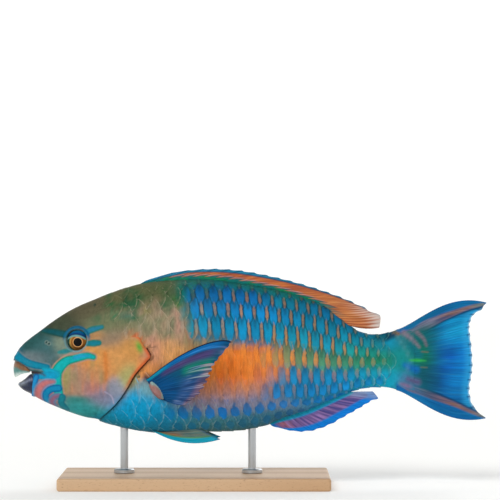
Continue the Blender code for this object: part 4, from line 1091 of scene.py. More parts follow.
near_spot = node(scale_paint, "MapRange", {
    "Value": reaches[0], "From Min": 1.9, "From Max": 1}, **SOFT_EDGE)
near_spot = node(scale_paint, "Math", {0: near_spot, 1: in_dark}, **TIMES)
near_bar = node(scale_paint, "MapRange", {
    "Value": reaches[1], "From Min": 2.2, "From Max": 1.1, "To Max": 0.4}, **SOFT_EDGE)
near_bar = node(scale_paint, "Math", {0: near_bar, 1: in_dark}, **TIMES)
in_bar = node(scale_paint, "MapRange", {"Value": reaches[1], "From Min": 1.2, "From Max": 0.75}, **SOFT_EDGE)
bar_fades = node(scale_paint, "MapRange", {
    "Value": waver, "From Min": 0.35, "From Max": 0.55, "To Min": 0.65})
in_bar = node(scale_paint, "Math", {0: in_bar, 1: bar_fades}, **TIMES)
in_edge = node(scale_paint, "MapRange", {"Value": to_edge, "From Min": 0.14, "From Max": 0}, **SOFT_EDGE)
edge_breaks = node(scale_paint, "MapRange", {"Value": waver, "From Min": 0.62, "From Max": 0.42})
in_edge = node(scale_paint, "Math", {0: in_edge, 1: edge_breaks}, **TIMES)
# Painted shade: the front of each plate's bare part, under the free edge of the plate ahead, is darkened.
under_lip_shade = node(scale_paint, "MapRange", {
    "Value": along, "From Min": -0.18, "From Max": -0.42, "To Max": 0.5}, **SOFT_EDGE)
spot_alpha, bar_alpha, edge_alpha = [node(scale_paint, "Attribute", {}, "Alpha", attribute_name=title)
                                     for title in ("Spot", "Bar", "Edge")]
spot_tone = node(scale_paint, "Attribute", {}, "Color", attribute_name="Spot")
# Painted shading: each spot is lighter at one end and darker at the other, as light and shade would fall on a
# rounded scale.
waves = []
for spread, wave in ((net_column, "COSINE"), (net_row, "SINE")):
    turned = node(scale_paint, "Math", {0: spread, 1: math.pi}, **TIMES)
    waves.append(node(scale_paint, "Math", {0: turned}, operation=wave))
spot_shading_wave = node(scale_paint, "Math", {0: waves[0], 1: waves[1]}, **TIMES)
painted_spot_shading = node(scale_paint, "MapRange", {
    "Value": spot_shading_wave, "From Min": -0.9, "From Max": 0.9, "To Min": 0.66, "To Max": 1.16})
spot_tone = node(scale_paint, "Mix", {"Factor": 1, "A": spot_tone, "B": painted_spot_shading}, **TINT)
edge_tone, bar_tone, ground_tone = [node(scale_paint, "Attribute", {}, "Color", attribute_name=title)
                                    for title in ("Edge", "Bar", "Ground")]
patchy = node(scale_paint, "MapRange", {
    "Value": hairs, "From Min": 0.3, "From Max": 0.7, "To Min": 0.8, "To Max": 1.2})
ground_tone = node(scale_paint, "Mix", {"Factor": 1, "A": ground_tone, "B": patchy}, **TINT)
deep_tone = node(scale_paint, "Mix", {"Factor": 1, "A": spot_tone, "B": DEEP_TINT}, **TINT)
for mask, strength, over in ((near_spot, spot_alpha, deep_tone), (in_edge, edge_alpha, edge_tone),
                             (in_spot, spot_alpha, spot_tone), (near_bar, spot_alpha, SPOT_SURROUND),
                             (in_bar, bar_alpha, bar_tone)):
    mask = node(scale_paint, "Math", {0: mask, 1: strength}, **TIMES)
    ground_tone = node(scale_paint, "Mix", {"Factor": mask, "A": ground_tone, "B": over}, data_type="RGBA")
ground_tone = node(scale_paint, "Mix", {"Factor": under_lip_shade, "A": ground_tone, "B": UNDER_LIP_SHADE_TINT}, **TINT)
grainy = node(scale_paint, "MapRange", {
    "Value": grain, "From Min": 0.3, "From Max": 0.7, "To Min": 0.93, "To Max": 1.07})
ground_tone = node(scale_paint, "Mix", {"Factor": 1, "A": ground_tone, "B": grainy}, **TINT)
rings_out = node(scale_paint, "Math", {0: to_edge, 1: 2 * math.pi / RING_SPACING}, **TIMES)
ring_wave = node(scale_paint, "Math", {0: rings_out}, operation="SINE")
ring_height = node(scale_paint, "Math", {0: ring_wave, 1: 0.35, 2: grain}, operation="MULTIPLY_ADD")
ring_bump = node(scale_paint, "Bump", {"Height": ring_height, "Strength": 0.25, "Distance": 0.0001})
satin = node(scale_paint, "MapRange", {"Value": grain, "To Min": 0.3, "To Max": 0.5})
coat_with(scale_paint, {"Base Color": ground_tone, "Roughness": satin, "Normal": ring_bump, **VARNISH})
make_scales("scales_left", -1, 11)
make_scales("scales_right", 1, 12)

# Fins: thin resin sheets cast in silicone moulds, with the rays standing out of the membrane on both
# faces. Spines are single and stiff; soft rays are jointed and fork twice towards the margin. Each fin
# is set in a slot in the body and airbrushed along its rays.
MEMBRANE = 0.22          # half the thickness of the membrane at its middle
RAY_HEIGHT = 0.34        # of a ray over the membrane at its root
RAY_WIDTH = 0.13         # half a ray's width, in spaces between rays
RAY_JOINT = 0.9          # mm between the joints of a soft ray
ROOT_DEPTH = 1.6         # mm that a fin's root is let into the body


def fin_margin(knots):
    """Smooth functions for x and height through (share, x, height) points."""
    shares, xs, heights = zip(*knots)
    return curve_through(list(zip(shares, xs))), curve_through(list(zip(shares, heights)))


def ray_ridges(place, out, spines):
    """How strongly a ray stands out at a place counted in rays, and how near its middle line it is."""
    nearest_ray = np.round(place)
    away = place - nearest_ray
    soft = nearest_ray >= spines
    fork = np.where(soft, 0.15 * smooth(0.35, 0.75, out), 0)
    twig = np.where(soft, 0.075 * smooth(0.65, 1, out), 0)
    wide = RAY_WIDTH * (1 - 0.35 * out) * np.where(soft, 1 - 0.35 * smooth(0.4, 0.9, out), 1)
    ridge = np.zeros(np.broadcast(place, out).shape)
    for first in (-1, 1):
        for second in (-1, 1):
            ridge = np.maximum(ridge, bell(away - first * fork - second * twig, wide))
    return ridge


def two_faced(near, far):
    """Rows that go out over one face of a sheet and back over the other, closed into a loop."""
    return np.concatenate([near, far[:, ::-1], near[:, :1]], axis=1)


def make_fin(name, node_name, margin, root, painter, rays, spines=0, sheet=None, bow=None, root_half=1.4,
             power=3, notch=0.8, per_ray=12, steps=26, ripple=0.35, free=None,
             swell=lambda reach: 4 * reach * (1 - reach)):
    """One fin. root(share) gives where a ray leaves the body and sheet(x, height, share, out) the
    fin's middle surface, as its distance to the side and the direction that counts as outwards."""
    share = np.linspace(0, 1, (rays - 1) * per_ray + 1)[:, None]
    out = np.linspace(0, 1, steps)[None, :] ** 0.9
    place = share * (rays - 1)
    root_x, root_z = root(share)
    tip_x, tip_z = margin[0](share), margin[1](share)
    run, rise = tip_x - root_x, tip_z - root_z
    length = np.maximum(np.hypot(run, rise), 1e-6)
    between = np.abs(place - np.round(place)) * 2
    cut = notch * np.sin(between * math.pi / 2) ** 1.4
    if free is not None:
        cut = cut + free(share) * smooth(0.35, 0.75, between)
    fork_nick = 0.25 * bell(between, 0.12) * (np.round(place) >= spines)
    reach = -ROOT_DEPTH / length + (1 - (cut + fork_nick) / length + ROOT_DEPTH / length) * out
    bend = bow(share) * swell(np.clip(reach, 0, 1)) if bow else 0 * reach
    x = root_x + run * reach - rise / length * bend
    height = root_z + rise * reach + run / length * bend
    ridge = ray_ridges(place, np.clip(reach, 0, 1), spines)
    half = MEMBRANE * (1 - 0.5 * out) + root_half * np.clip(1 - out, 0, 1) ** power
    half = half + RAY_HEIGHT * ridge * (1 - 0.7 * out)
    half = half * np.sqrt(np.clip((1 - out) / 0.04, 0, 1))
    half[0] = half[-1] = 0
    y, side = sheet(x, height, share, np.clip(reach, 0, 1)) if sheet else (0 * x, 1)
    wave = ripple * np.clip(reach, 0, 1) ** 1.5 * np.sin(place * 2.1 + 1.3 * np.sin(place * 0.37 + 1))
    y = y + side * wave
    near = np.stack([x, y + side * half, height], -1)
    far = np.stack([x, y - side * half, height], -1)
    fin = wrapped_grid(name, two_faced(near, far))
    grids = (share, np.clip(reach, 0, 1), ridge, place, length * reach)
    grids = [np.broadcast_to(grid, x.shape) for grid in grids]
    fin_share, fin_out, fin_ridge, fin_place, far_out = [two_faced(grid, grid).T.ravel() for grid in grids]
    places = places_of(fin)[:, [0, 2]]
    add_colour(fin, "Paint", painter(places, fin_share, fin_out, fin_ridge, fin_place))
    add_marks(fin, "FinPlace", np.stack([fin_place, far_out, fin_ridge], 1))
    closed_up(fin, 2e-6)
    shade(fin, 55)
    fin.data.materials.append(fin_paint)
    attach(fin, "root")
    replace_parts(fin, node_name)
    return fin


def washes(share, out, passes):
    """The coats sprayed over a fin. Each pass is from and to along the fin's length, from and to along
    the rays, how soft its edges are, its colour, and how strong it is."""
    coats = []
    for first, last, low, high, soft, colour, strength in passes:
        cover = smooth(first - soft, first + soft, share) * smooth(last + soft, last - soft, share)
        cover = cover * smooth(low - soft, low + soft, out) * smooth(high + soft, high - soft, out)
        coats.append((cover * strength, colour))
    return coats


def plain_colour(count, colour):
    """One linear colour for each of a number of points."""
    return np.tile(np.array(linear(colour)[:3]), (count, 1))


# The finish of the fins: dyed resin under satin varnish. Fine streaks follow the rays, and the joints
# of the soft rays are lines across them, drawn 0.9 mm apart so that they show.
fin_paint = finish("dyed resin fin")
fin_tone = node(fin_paint, "Attribute", {}, "Color", attribute_name="Paint")
fin_place = node(fin_paint, "Attribute", {}, "Vector", attribute_name="FinPlace")
fibres_at = node(fin_paint, "Mapping", {"Vector": fin_place, "Scale": (7, 0.07, 0)})
fibres = node(fin_paint, "TexNoise", {"Vector": fibres_at, "Scale": 1, "Detail": 3}, "Fac")
fibre_tone = node(fin_paint, "MapRange", {
    "Value": fibres, "From Min": 0.3, "From Max": 0.7, "To Min": 0.78, "To Max": 1.2})
fibred = node(fin_paint, "Mix", {"Factor": 1, "A": fin_tone, "B": fibre_tone}, **TINT)
_, from_root, on_ray = node(fin_paint, "SeparateXYZ", {"Vector": fin_place}).node.outputs
joint_turn = node(fin_paint, "Math", {0: from_root, 1: 2 * math.pi / RAY_JOINT}, **TIMES)
joint_wave = node(fin_paint, "Math", {0: joint_turn}, operation="SINE")
joint_line = node(fin_paint, "MapRange", {"Value": joint_wave, "From Min": 0.6, "From Max": 1})
joints = node(fin_paint, "Math", {0: joint_line, 1: on_ray}, **TIMES)
relief_sum = node(fin_paint, "Math", {0: joints, 1: -0.7, 2: fibres}, operation="MULTIPLY_ADD")
fin_bump = node(fin_paint, "Bump", {"Height": relief_sum, "Strength": 0.3, "Distance": 0.00012})
coat_with(fin_paint, {
    "Base Color": fibred, "Normal": fin_bump, "Roughness": 0.42, **VARNISH, "Coat Roughness": 0.25})

# Dorsal fin: nine spines and ten soft rays in one long low fin. It's teal at its scaly foot, orange
# along the middle with a fine dark line under it, and rimmed with blue; the last rays are tan.
DORSAL_BASE = (-70, 63)
DORSAL_MARGIN = [
    (0, -62, 52.4), (0.05, -51, 55.7), (0.15, -33, 58.2), (0.3, -10.4, 58), (0.45, 10.9, 54.5),
    (0.6, 31.8, 49.3), (0.75, 53.1, 42.4), (0.85, 66.5, 37), (0.92, 76.8, 31.8), (0.97, 84, 26.8),
    (1, 81.8, 21)]


def dorsal_root(share):
    x = DORSAL_BASE[0] + (DORSAL_BASE[1] - DORSAL_BASE[0]) * share
    return x, back(x)


def paint_dorsal(places, share, out, ridge, place):
    grain = streaks(out * 12, place, 6, 0.25, 21)
    fine = 0.5 + 0.32 * np.sin(8 * math.pi * place) + 0.5 * (grain - 0.5)
    rear = smooth(0.62, 0.85, share)
    colours = plain_colour(len(share), "#ad5a38")
    saw = place - np.floor(place)
    step = 0.16 * (saw - 0.5)
    foot = 0.32 - 0.18 * share + step
    pale = bell(out - foot - 0.13, 0.045) * smooth(0.9, 0.7, share) * smooth(0.85, 0.6, saw)
    dark = bell(out - foot - 0.05, 0.05) * smooth(0.95, 0.85, share) * smooth(0.1, 0.45, saw)
    colours = dabbed(colours, [
        (smooth(0.5, 0.9, grain) * 0.6, "#c9773f"),
        (smooth(0.45, 0.1, grain) * 0.5, "#8f4a38"),
        (rear * 0.6, "#bf7640"),
        (smooth(0.2, 0.08, share) * 0.7, "#a07a70"),
        (rear * smooth(0.5, 0.75, fine) * 0.8, "#d08c54"),
        (rear * smooth(0.5, 0.25, fine) * 0.8, "#8a4634"),
        (smooth(0.8, 0.98, share) * smooth(0.5, 1, out + 0.5 * (fine - 0.5)) * 0.9, "#c8beb8"),
        (pale * 0.85, "#c09c9c"),
        (dark * 0.9, "#0c3a54")])
    base = plain_colour(len(share), "#0c6a66")
    green = smooth(0.4, 0.8, streaks(places[:, 0], out * 8, 6, 3, 23)) * 0.8
    base = dabbed(base, [(green, "#137a4e")])
    in_base = np.clip(smooth(foot + 0.06, foot - 0.02, out) * smooth(0.97, 0.84, share), 0, 1)[:, None]
    colours = colours * (1 - in_base) + base * in_base
    rim = 0.32 * smooth(1.02, 0.1, share) + 0.04
    rim = np.maximum(rim, np.interp(share, [0, 0.05, 0.12, 0.2], [0.95, 0.75, 0.5, 0]))
    at_rim = smooth(1 - rim - 0.04, 1 - rim + 0.04, out) * smooth(0.98, 0.86, share)
    rim_line = bell(out - 1 + rim, 0.045) * smooth(0.98, 0.8, share)
    return dabbed(colours, [
        (at_rim, "#17789c"),
        (at_rim * smooth(0.5, 0.9, grain) * 0.6, "#0b5a8c"),
        (at_rim * smooth(0.3, 0.05, saw) * 0.8, "#0b4a70"),
        (at_rim * smooth(0.6, 0.9, fine) * 0.5, "#4f9cb8"),
        (rim_line * 0.85, "#0b3558"),
        (smooth(0.93, 1, out) * 0.4 * smooth(0.98, 0.8, share), "#5fa8b8")])


make_fin("dorsal_fin", "fin_dorsal", fin_margin(DORSAL_MARGIN), dorsal_root, paint_dorsal, 19, spines=9,
         bow=lambda share: 0.5 - 1.6 * share ** 2, notch=1.5, per_ray=16)

# Anal fin: three spines and nine soft rays, turquoise at the foot, streaked with purple, and deep
# blue along its margin.
ANAL_BASE = (12, 63)
ANAL_MARGIN = [
    (0, 17.4, -42), (0.1, 25.5, -44.3), (0.25, 38, -44.6), (0.4, 49.5, -41), (0.55, 60, -35.3),
    (0.7, 69, -30.2), (0.85, 76.8, -25.4), (0.95, 81.4, -22.6), (1, 77.6, -19.2)]


def anal_root(share):
    x = ANAL_BASE[0] + (ANAL_BASE[1] - ANAL_BASE[0]) * share
    return x, belly(x)


def paint_anal(places, share, out, ridge, place):
    grain = streaks(out * 14, place, 8, 0.22, 24)
    colours = plain_colour(len(share), "#0874cc")
    band = smooth(0.16, 0.24, out) * smooth(0.72, 0.6, out) * smooth(0.02, 0.12, share)
    return dabbed(colours, [
        (smooth(0.5, 0.9, grain) * 0.5, "#0a86c4"),
        (band, "#6a568c"),
        (band * smooth(0.25, 0.12, share), "#9a6074"),
        (band * smooth(0.52, 0.8, grain) * 0.8, "#8f6fa6"),
        (band * smooth(0.42, 0.15, grain) * 0.7, "#3a3f80"),
        (smooth(0.84, 0.98, share) * smooth(-0.4, 0.5, grain) * 0.9, "#7a90b4"),
        *washes(share, out, [(-0.1, 1.1, -0.2, 0.13, 0.04, "#0c84a0", 1)]),
        (bell(out - 0.15, 0.035) * 0.6, "#2aa4b4"),
        (smooth(0.93, 1, out) * 0.4, "#0a5fae")])


make_fin("anal_fin", "fin_anal", fin_margin(ANAL_MARGIN), anal_root, paint_anal, 12, spines=3,
         bow=lambda share: -0.8 * (1 - share), root_half=1.3, notch=1, per_ray=16)

# Tail fin: fifteen rays from the end of the stalk, with long pointed lobes above and below. The lobes
# are blue outside with a pink band inside, and the middle is bright blue with a pale hem.
CAUDAL_MARGIN = [
    (0, 150, 37), (0.06, 147.3, 33), (0.14, 142.1, 29.7), (0.22, 139.8, 25.2), (0.32, 139.1, 19.7),
    (0.42, 140.2, 11.4), (0.5, 140.9, 3.8), (0.58, 141, -3.2), (0.68, 140.4, -9.5), (0.78, 139.2, -16.9),
    (0.86, 139.6, -22.6), (0.94, 143, -30.2), (1, 149.6, -36.2)]
CAUDAL_ROOT_X = 94
PINK_UPPER = [
    (98.5, 17.8, 1.2), (104, 18.8, 2), (110.5, 22.4, 2.7), (117.3, 25.7, 2.2), (122.7, 28.2, 1.7),
    (129.8, 30.9, 1.3), (136, 33.2, 1), (142.2, 34.9, 0.8), (147.8, 36, 0.5)]
PINK_LOWER = [
    (97, -15.2, 1.2), (101.3, -17.4, 1.9), (108.4, -19.4, 2.1), (115.5, -22.3, 1.9), (122.7, -25, 1.5),
    (129.8, -27.7, 1.2), (136.9, -30.9, 0.9), (144, -33.8, 0.7), (148.3, -35.4, 0.4)]
CAUDAL_WASHES = [
    (0.1, 0.42, 0.25, 0.62, 0.12, "#066c8c", 0.8), (0.14, 0.44, 0.62, 1.1, 0.14, "#109ccc", 0.9),
    (0.4, 0.7, 0.3, 0.8, 0.12, "#0456ac", 0.9), (0.4, 0.7, 0.8, 1.1, 0.1, "#0678cc", 0.8),
    (0.62, 0.9, 0.3, 0.6, 0.1, "#05507c", 0.8), (0.62, 0.9, 0.68, 1.1, 0.12, "#0a86cc", 0.8),
    (-0.1, 0.14, 0.1, 1.1, 0.03, "#066290", 0.9), (-0.1, 0.14, 0.6, 1.1, 0.12, "#0878ae", 0.8),
    (0.87, 1.1, 0.1, 1.1, 0.03, "#0668a0", 0.9)]


def caudal_root(share):
    return CAUDAL_ROOT_X + 0 * share, 20.4 - 39.4 * share


def caudal_bow(share):
    upper = np.clip(1 - share * 3.2, 0, 1) ** 1.3
    lower = np.clip(1 - (1 - share) * 3.2, 0, 1) ** 1.3
    return 6.6 * upper - 6.2 * lower


def paint_caudal(places, share, out, ridge, place):
    x, height = places.T
    fine = streaks(out * 45, place, 14, 0.25, 41)
    broad = streaks(out * 45, place, 30, 1.1, 42)
    colours = plain_colour(len(share), "#045c9e")
    inside = smooth(0.02, 0.1, share) * smooth(0.98, 0.92, share)
    tip = smooth(0.93, 0.97, out) * bell(place - np.round(place), 0.1) * inside
    colours = dabbed(colours, [
        *washes(share, out, CAUDAL_WASHES),
        (smooth(0.45, 0.9, broad) * 0.3, "#0a7ab0"),
        (smooth(0.45, 0.1, broad) * 0.4, "#04467c"),
        (smooth(0.62, 0.9, fine) * 0.25, "#2f8cb8"),
        (ridge * 0.25, "#0a4f96"),
        (smooth(0.84, 0.96, out) * inside * 0.7, "#2a98cc"),
        (smooth(0.965, 0.99, out) * inside * 0.8, "#a8cfe0"),
        (tip * 0.8, "#083a6c")])
    for line, inner in ((PINK_UPPER, -1), (PINK_LOWER, 1)):
        shadow = [(px, pz + inner * (half + 0.9), 0.7) for px, pz, half in line]
        cover, along = stroke(places, line, 0.9)
        colours = dabbed(colours, [
            *brushed(places, [(shadow, "#07385c", 0.9)]),
            (cover * 0.9, "#5c5470" if inner > 0 else "#7a6e84"),
            (cover * smooth(0.3, 0.6, along) * 0.9, "#7a5a54"),
            (cover * smooth(0.45, 0.1, fine) * 0.8, "#3a4468"),
            (cover * smooth(0.6, 0.95, fine) * 0.6, "#9a8488"),
            (cover * smooth(0.78, 0.98, along), "#6f8078")])
    near_body = smooth(127, 110, x + 0.15 * np.abs(height - 1))[:, None]
    near_body = near_body * (1 - 0.9 * smooth(0.2, 0.06, share) - 0.9 * smooth(0.8, 0.94, share))[:, None]
    colours = colours * (1 - near_body) + airbrushed(places, GROUND_PASSES) * near_body
    return dabbed(colours, brushed(places, TAIL_MARKS))


make_fin("caudal_fin", "fin_caudal", fin_margin(CAUDAL_MARGIN), caudal_root, paint_caudal, 15,
         bow=caudal_bow, root_half=2.6, power=5, notch=0.7, per_ray=18, steps=60, ripple=0.5,
         swell=lambda reach: 5.5 * reach ** 1.6 * (1 - reach))

# Pectoral fins: fourteen rays on a fleshy pad behind each gill slit, spread like a fan. The stout
# leading ray is edged in blue over purple, the base is deep blue, and the lower rays end a little
# free of the membrane.
PECTORAL_ROOT = [(-64, -9.8), (-54, -24)]
PECTORAL_MARGIN = [
    (0, -11.2, 13.3), (0.08, -13.4, 10.2), (0.2, -19.2, 3.2), (0.32, -22.5, -1.2), (0.45, -25, -7.5),
    (0.58, -27.9, -13.3), (0.72, -32.3, -19.8), (0.86, -36.8, -23.2), (1, -39.4, -25.6)]
PECTORAL_WASHES = [
    (0.05, 0.5, 0.3, 1.1, 0.15, "#06506a", 0.8), (0.4, 1.1, 0.45, 1.1, 0.12, "#2c5084", 0.8),
    (0.45, 1.1, 0.8, 1.1, 0.1, "#7f5a68", 0.7), (0.21, 0.37, 0.5, 0.94, 0.06, "#0a7866", 0.95),
    (0.34, 0.56, 0.88, 1.1, 0.06, "#6f5c60", 0.6), (0.35, 0.8, -0.1, 0.4, 0.1, "#034a80", 0.9)]
PECTORAL_SPREAD = 24     # degrees off the flank
PECTORAL_LIFT = 2.2      # mm that the root's middle lies over the flank


def pectoral_root(share):
    first, last = PECTORAL_ROOT
    return first[0] + (last[0] - first[0]) * share, first[1] + (last[1] - first[1]) * share


def flank(x, height):
    """Half the body's width at a place on its side."""
    return np.abs(on_body(x, share_at(x, height), 1)[..., 1])


def pectoral_sheet(side):
    def sheet(x, height, share, out):
        root_x, root_z = pectoral_root(share)
        off = np.hypot(x - root_x, height - root_z)
        slope = math.tan(math.radians(PECTORAL_SPREAD))
        lie = flank(root_x, root_z) + PECTORAL_LIFT * smooth(-0.05, 0.12, out) + slope * off * (1 - 0.2 * out)
        return side * lie, side
    return sheet


def pectoral_bow(share):
    return 6 * np.clip(1 - 2 * share, 0, 1) - 1.5 * np.clip(2 * share - 1, 0, 1)


def paint_pectoral(places, share, out, ridge, place):
    grain = streaks(out * 45, place, 16, 0.3, 26)
    colours = plain_colour(len(share), "#034676")
    streak = bell(share - 0.17 + 0.02 * out, 0.06) * smooth(0.1, 0.25, out)
    edge = smooth(0.12, 0.09, share) * smooth(1, 0.86, out)
    lines = streaks(out * 45, place, 22, 0.17, 27)
    thin = smooth(0.58, 0.88, lines) * smooth(0.24, 0.3, share)
    start = 0.52 - 0.24 * smooth(0.6, 0.95, share)
    white = sum(bell(share - at - 0.03 * out, 0.007) for at in (0.34, 0.42))
    between = smooth(0.45, 0.2, lines) * smooth(0.4, 0.5, share)
    return dabbed(colours, [
        *washes(share, out, PECTORAL_WASHES),
        (smooth(0.45, 0.1, grain) * 0.5, "#062a50"),
        (streak * smooth(1.02, 0.8, out), "#463c6c"),
        (streak * smooth(0.55, 0.9, grain) * smooth(0.4, 0.6, out) * 0.7, "#8a7aa4"),
        (edge, "#0660a0"),
        (edge * smooth(0.35, 0.1, out), "#0a84a4"),
        (edge * smooth(0.45, 0.9, grain) * smooth(0.3, 0.6, out) * 0.8, "#2f7cc0"),
        (smooth(0.025, 0.015, share), "#071e36"),
        (thin * smooth(start, start + 0.2, out) * 0.55, "#7f98c4"),
        (thin * smooth(0.74, 0.9, out) * 0.5, "#c0a090"),
        (white * smooth(0.5, 0.8, out) * 0.6, "#a8c0bc"),
        (between * smooth(0.45, 0.65, out) * 0.7, "#14305c")])


for word, side in SIDES:
    make_fin(f"pectoral_fin_{word}", f"fin_pectoral_{word}", fin_margin(PECTORAL_MARGIN), pectoral_root,
             paint_pectoral, 14, spines=1, sheet=pectoral_sheet(side), bow=pectoral_bow, root_half=1.2,
             power=4, notch=0.5, ripple=0.3, free=lambda share: 1.5 * smooth(0.2, 0.5, share),
             per_ray=16, steps=40, swell=lambda reach: 2.92 * reach * (1 - reach) ** 0.6)

# Pads of the pectoral fins: the muscle at each fin's root, a low fleshy lobe with a pale blue edge.
# Each is modelled in the same resin as the skin and glued on over the foot of its fin.
PAD_CENTRE = (-58.6, -17.2)
PAD_HALF = (3.3, 7.4)
PAD_HEIGHT = 5
PAD_LEAN = math.radians(38)
PAD_TAN = "#9c6c5e"
PAD_EDGE = "#8aa8a4"
for word, side in SIDES:
    turn = np.linspace(0, 2 * math.pi, 73)[:, None]
    reach = np.linspace(0, 1, 19)[None, :]
    along_x = PAD_HALF[0] * reach * np.cos(turn)
    along_z = PAD_HALF[1] * reach * np.sin(turn)
    pad_x = PAD_CENTRE[0] + along_x * math.cos(PAD_LEAN) + along_z * math.sin(PAD_LEAN) * -1
    pad_z = PAD_CENTRE[1] + along_z * math.cos(PAD_LEAN) + along_x * math.sin(PAD_LEAN)
    pad_share = share_at(pad_x, pad_z)
    dome = PAD_HEIGHT * np.sqrt(np.clip(1 - reach ** 2.4, 0, 1)) - 0.3 + 0 * turn
    surface = on_body(pad_x, pad_share, side)
    out = body_normal(pad_x, pad_share, side)
    top = surface + out * dome[..., None]
    under = surface - out * 1.2
    pad = wrapped_grid(f"fin_pad_{word}", np.concatenate([top, under[:, ::-1]], axis=1))
    grid_reach = np.concatenate([np.tile(reach, (73, 1)), np.tile(reach[:, ::-1], (73, 1))], 1).T.ravel()
    grid_turn = np.tile(turn, (1, 38)).T.ravel()
    shades = plain_colour(len(grid_reach), PAD_TAN)
    shades = dabbed(shades, [
        (0.5 * streaks(grid_turn * 4, grid_reach * 3, 1, 2, 5), "#8a7f94"),
        (smooth(0.45, 0.75, grid_reach) * smooth(-0.5, 0.3, np.cos(grid_turn)), PAD_EDGE)])
    add_colour(pad, "Paint", shades)
    closed_up(pad, 2e-6)
    shade(pad, 60)
    pad.data.materials.append(skin_paint)
    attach(pad, "root")

# Pelvic fins: a spine and five soft rays each, folded back under the breast, turquoise along the
# spine and orange tan between the rays.
PELVIC_BASE = (-62, -54)
PELVIC_MARGIN = [
    (0, -18.9, -48.8), (0.2, -21.5, -47.6), (0.4, -24.8, -46.1), (0.6, -28, -44.7), (0.8, -31, -43.3),
    (1, -33.9, -42.6)]
PELVIC_WASHES = [
    (0.2, 0.75, 0, 0.45, 0.1, "#8a6648", 0.8), (0.3, 1.1, 0.45, 1.1, 0.15, "#4f7470", 0.8),
    (0.6, 1.1, -0.1, 0.7, 0.1, "#4a5f60", 0.7)]
PELVIC_OFF_CENTRE = 5    # mm from the middle line to each fin's root
PELVIC_SPREAD = 9        # degrees


def pelvic_root(share):
    x = PELVIC_BASE[0] + (PELVIC_BASE[1] - PELVIC_BASE[0]) * share
    reach = belly(x) - widest(x)
    round_off = (1 - (PELVIC_OFF_CENTRE / half_width(x)) ** ROUNDNESS) ** (1 / ROUNDNESS)
    return x, widest(x) + reach * round_off


def pelvic_sheet(side):
    def sheet(x, height, share, out):
        root_x, root_z = pelvic_root(share)
        off = np.hypot(x - root_x, height - root_z)
        return side * (PELVIC_OFF_CENTRE + math.tan(math.radians(PELVIC_SPREAD)) * off), side
    return sheet


def paint_pelvic(places, share, out, ridge, place):
    grain = streaks(out * 30, place, 12, 0.3, 28)
    colours = plain_colour(len(share), "#6c675a")
    return dabbed(colours, [
        *washes(share, out, PELVIC_WASHES),
        (smooth(0.5, 0.9, grain) * 0.4, "#86806c"),
        (smooth(0.44, 0.32, share), "#4f8a58"),
        (smooth(0.36, 0.24, share), "#0a98b4"),
        (smooth(0.04, 0, share) * 0.7, "#0d5f84"),
        (smooth(0.93, 1, out) * 0.7, "#234a78")])


for word, side in SIDES:
    make_fin(f"pelvic_fin_{word}", f"fin_pelvic_{word}", fin_margin(PELVIC_MARGIN), pelvic_root,
             paint_pelvic, 6, spines=1, sheet=pelvic_sheet(side), root_half=1,
             bow=lambda share: -4.9 * (1 - share) ** 1.5, notch=0, per_ray=16, steps=40, ripple=0.2)

# Beaks: each jaw's teeth are fused into a hard plate like a parrot's bill, cast in tinted resin and
# polished to a bright shine over fine upright craze lines. The upper one is brown at its root, teal
# on its side and pale at its scalloped edge.
TOOTH_SPACING = 1.15
TOOTH_RELIEF = 0.1
TOOTH_SCALLOP = 0.22
SUTURE_HALF = 0.3        # half the width of the groove down a beak's middle
UPPER_BEAK_REAR = -139.3
UPPER_BEAK_FRONT = -150.25
UPPER_BEAK_HALF = 8.75
UPPER_BEAK_ROOT = [(-150.3, 0.6), (-149.2, 0.1), (-146, -1.1), (-141.2, -4.1), (-139.3, -6.3)]
UPPER_BEAK_EDGE = [(-150.3, -10.2), (-149.4, -10), (-146.2, -8.5), (-142, -7.4), (-139.3, -7)]
LOWER_BEAK_EDGE = [
    (-147.9, -15.7), (-147.4, -14.6), (-145.4, -13.1), (-142.4, -10.9), (-138.8, -7.9), (-137.7, -7.6)]
LOWER_BEAK_FRONT = -147.85
LOWER_BEAK_LENGTH = 10.2
BEAK_INSET = 0.7
BEAK_THICKNESS = 1.9
ENAMEL_ROOT = "#98500f"
ENAMEL_SIDE = "#4a8a86"
ENAMEL_EDGE = "#cfdcd6"
LOWER_ENAMEL = "#0e1c3c"
LOWER_ENAMEL_EDGE = "#8f989c"
enamel = finish("polished resin enamel")
enamel_tone = node(enamel, "Attribute", {}, "Color", attribute_name="Paint")
craze_at = node(enamel, "Mapping", {"Vector": node(enamel, "TexCoord", {}, "Object"),
                                    "Scale": (1200, 1200, 260)})
craze = node(enamel, "TexNoise", {"Vector": craze_at, "Scale": 1, "Detail": 3}, "Fac")
craze_tone = node(enamel, "MapRange", {
    "Value": craze, "From Min": 0.3, "From Max": 0.7, "To Min": 0.8, "To Max": 1.15})
crazed = node(enamel, "Mix", {"Factor": 1, "A": enamel_tone, "B": craze_tone}, **TINT)
craze_bump = node(enamel, "Bump", {"Height": craze, "Strength": 0.15, "Distance": 0.0001})
coat_with(enamel, {
    "Base Color": crazed, "Normal": craze_bump, "Roughness": 0.25, "Coat Weight": 0.3,
    "Specular IOR Level": 0.2, "Coat Roughness": 0.08})


def tooth_wave(distance):
    """1 in the middle of a tooth and 0 between two, at a distance along the beak from its middle."""
    return np.abs(np.cos(math.pi * distance / TOOTH_SPACING)) ** 0.6


def finish_beak(beak, colours, node_name):
    """Paints and polishes a tooth plate and puts it in its solid's place."""
    add_colour(beak, "Paint", colours)
    closed_up(beak, 2e-6)
    shade(beak, 45)
    beak.data.materials.append(enamel)
    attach(beak, "root")
    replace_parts(beak, node_name)


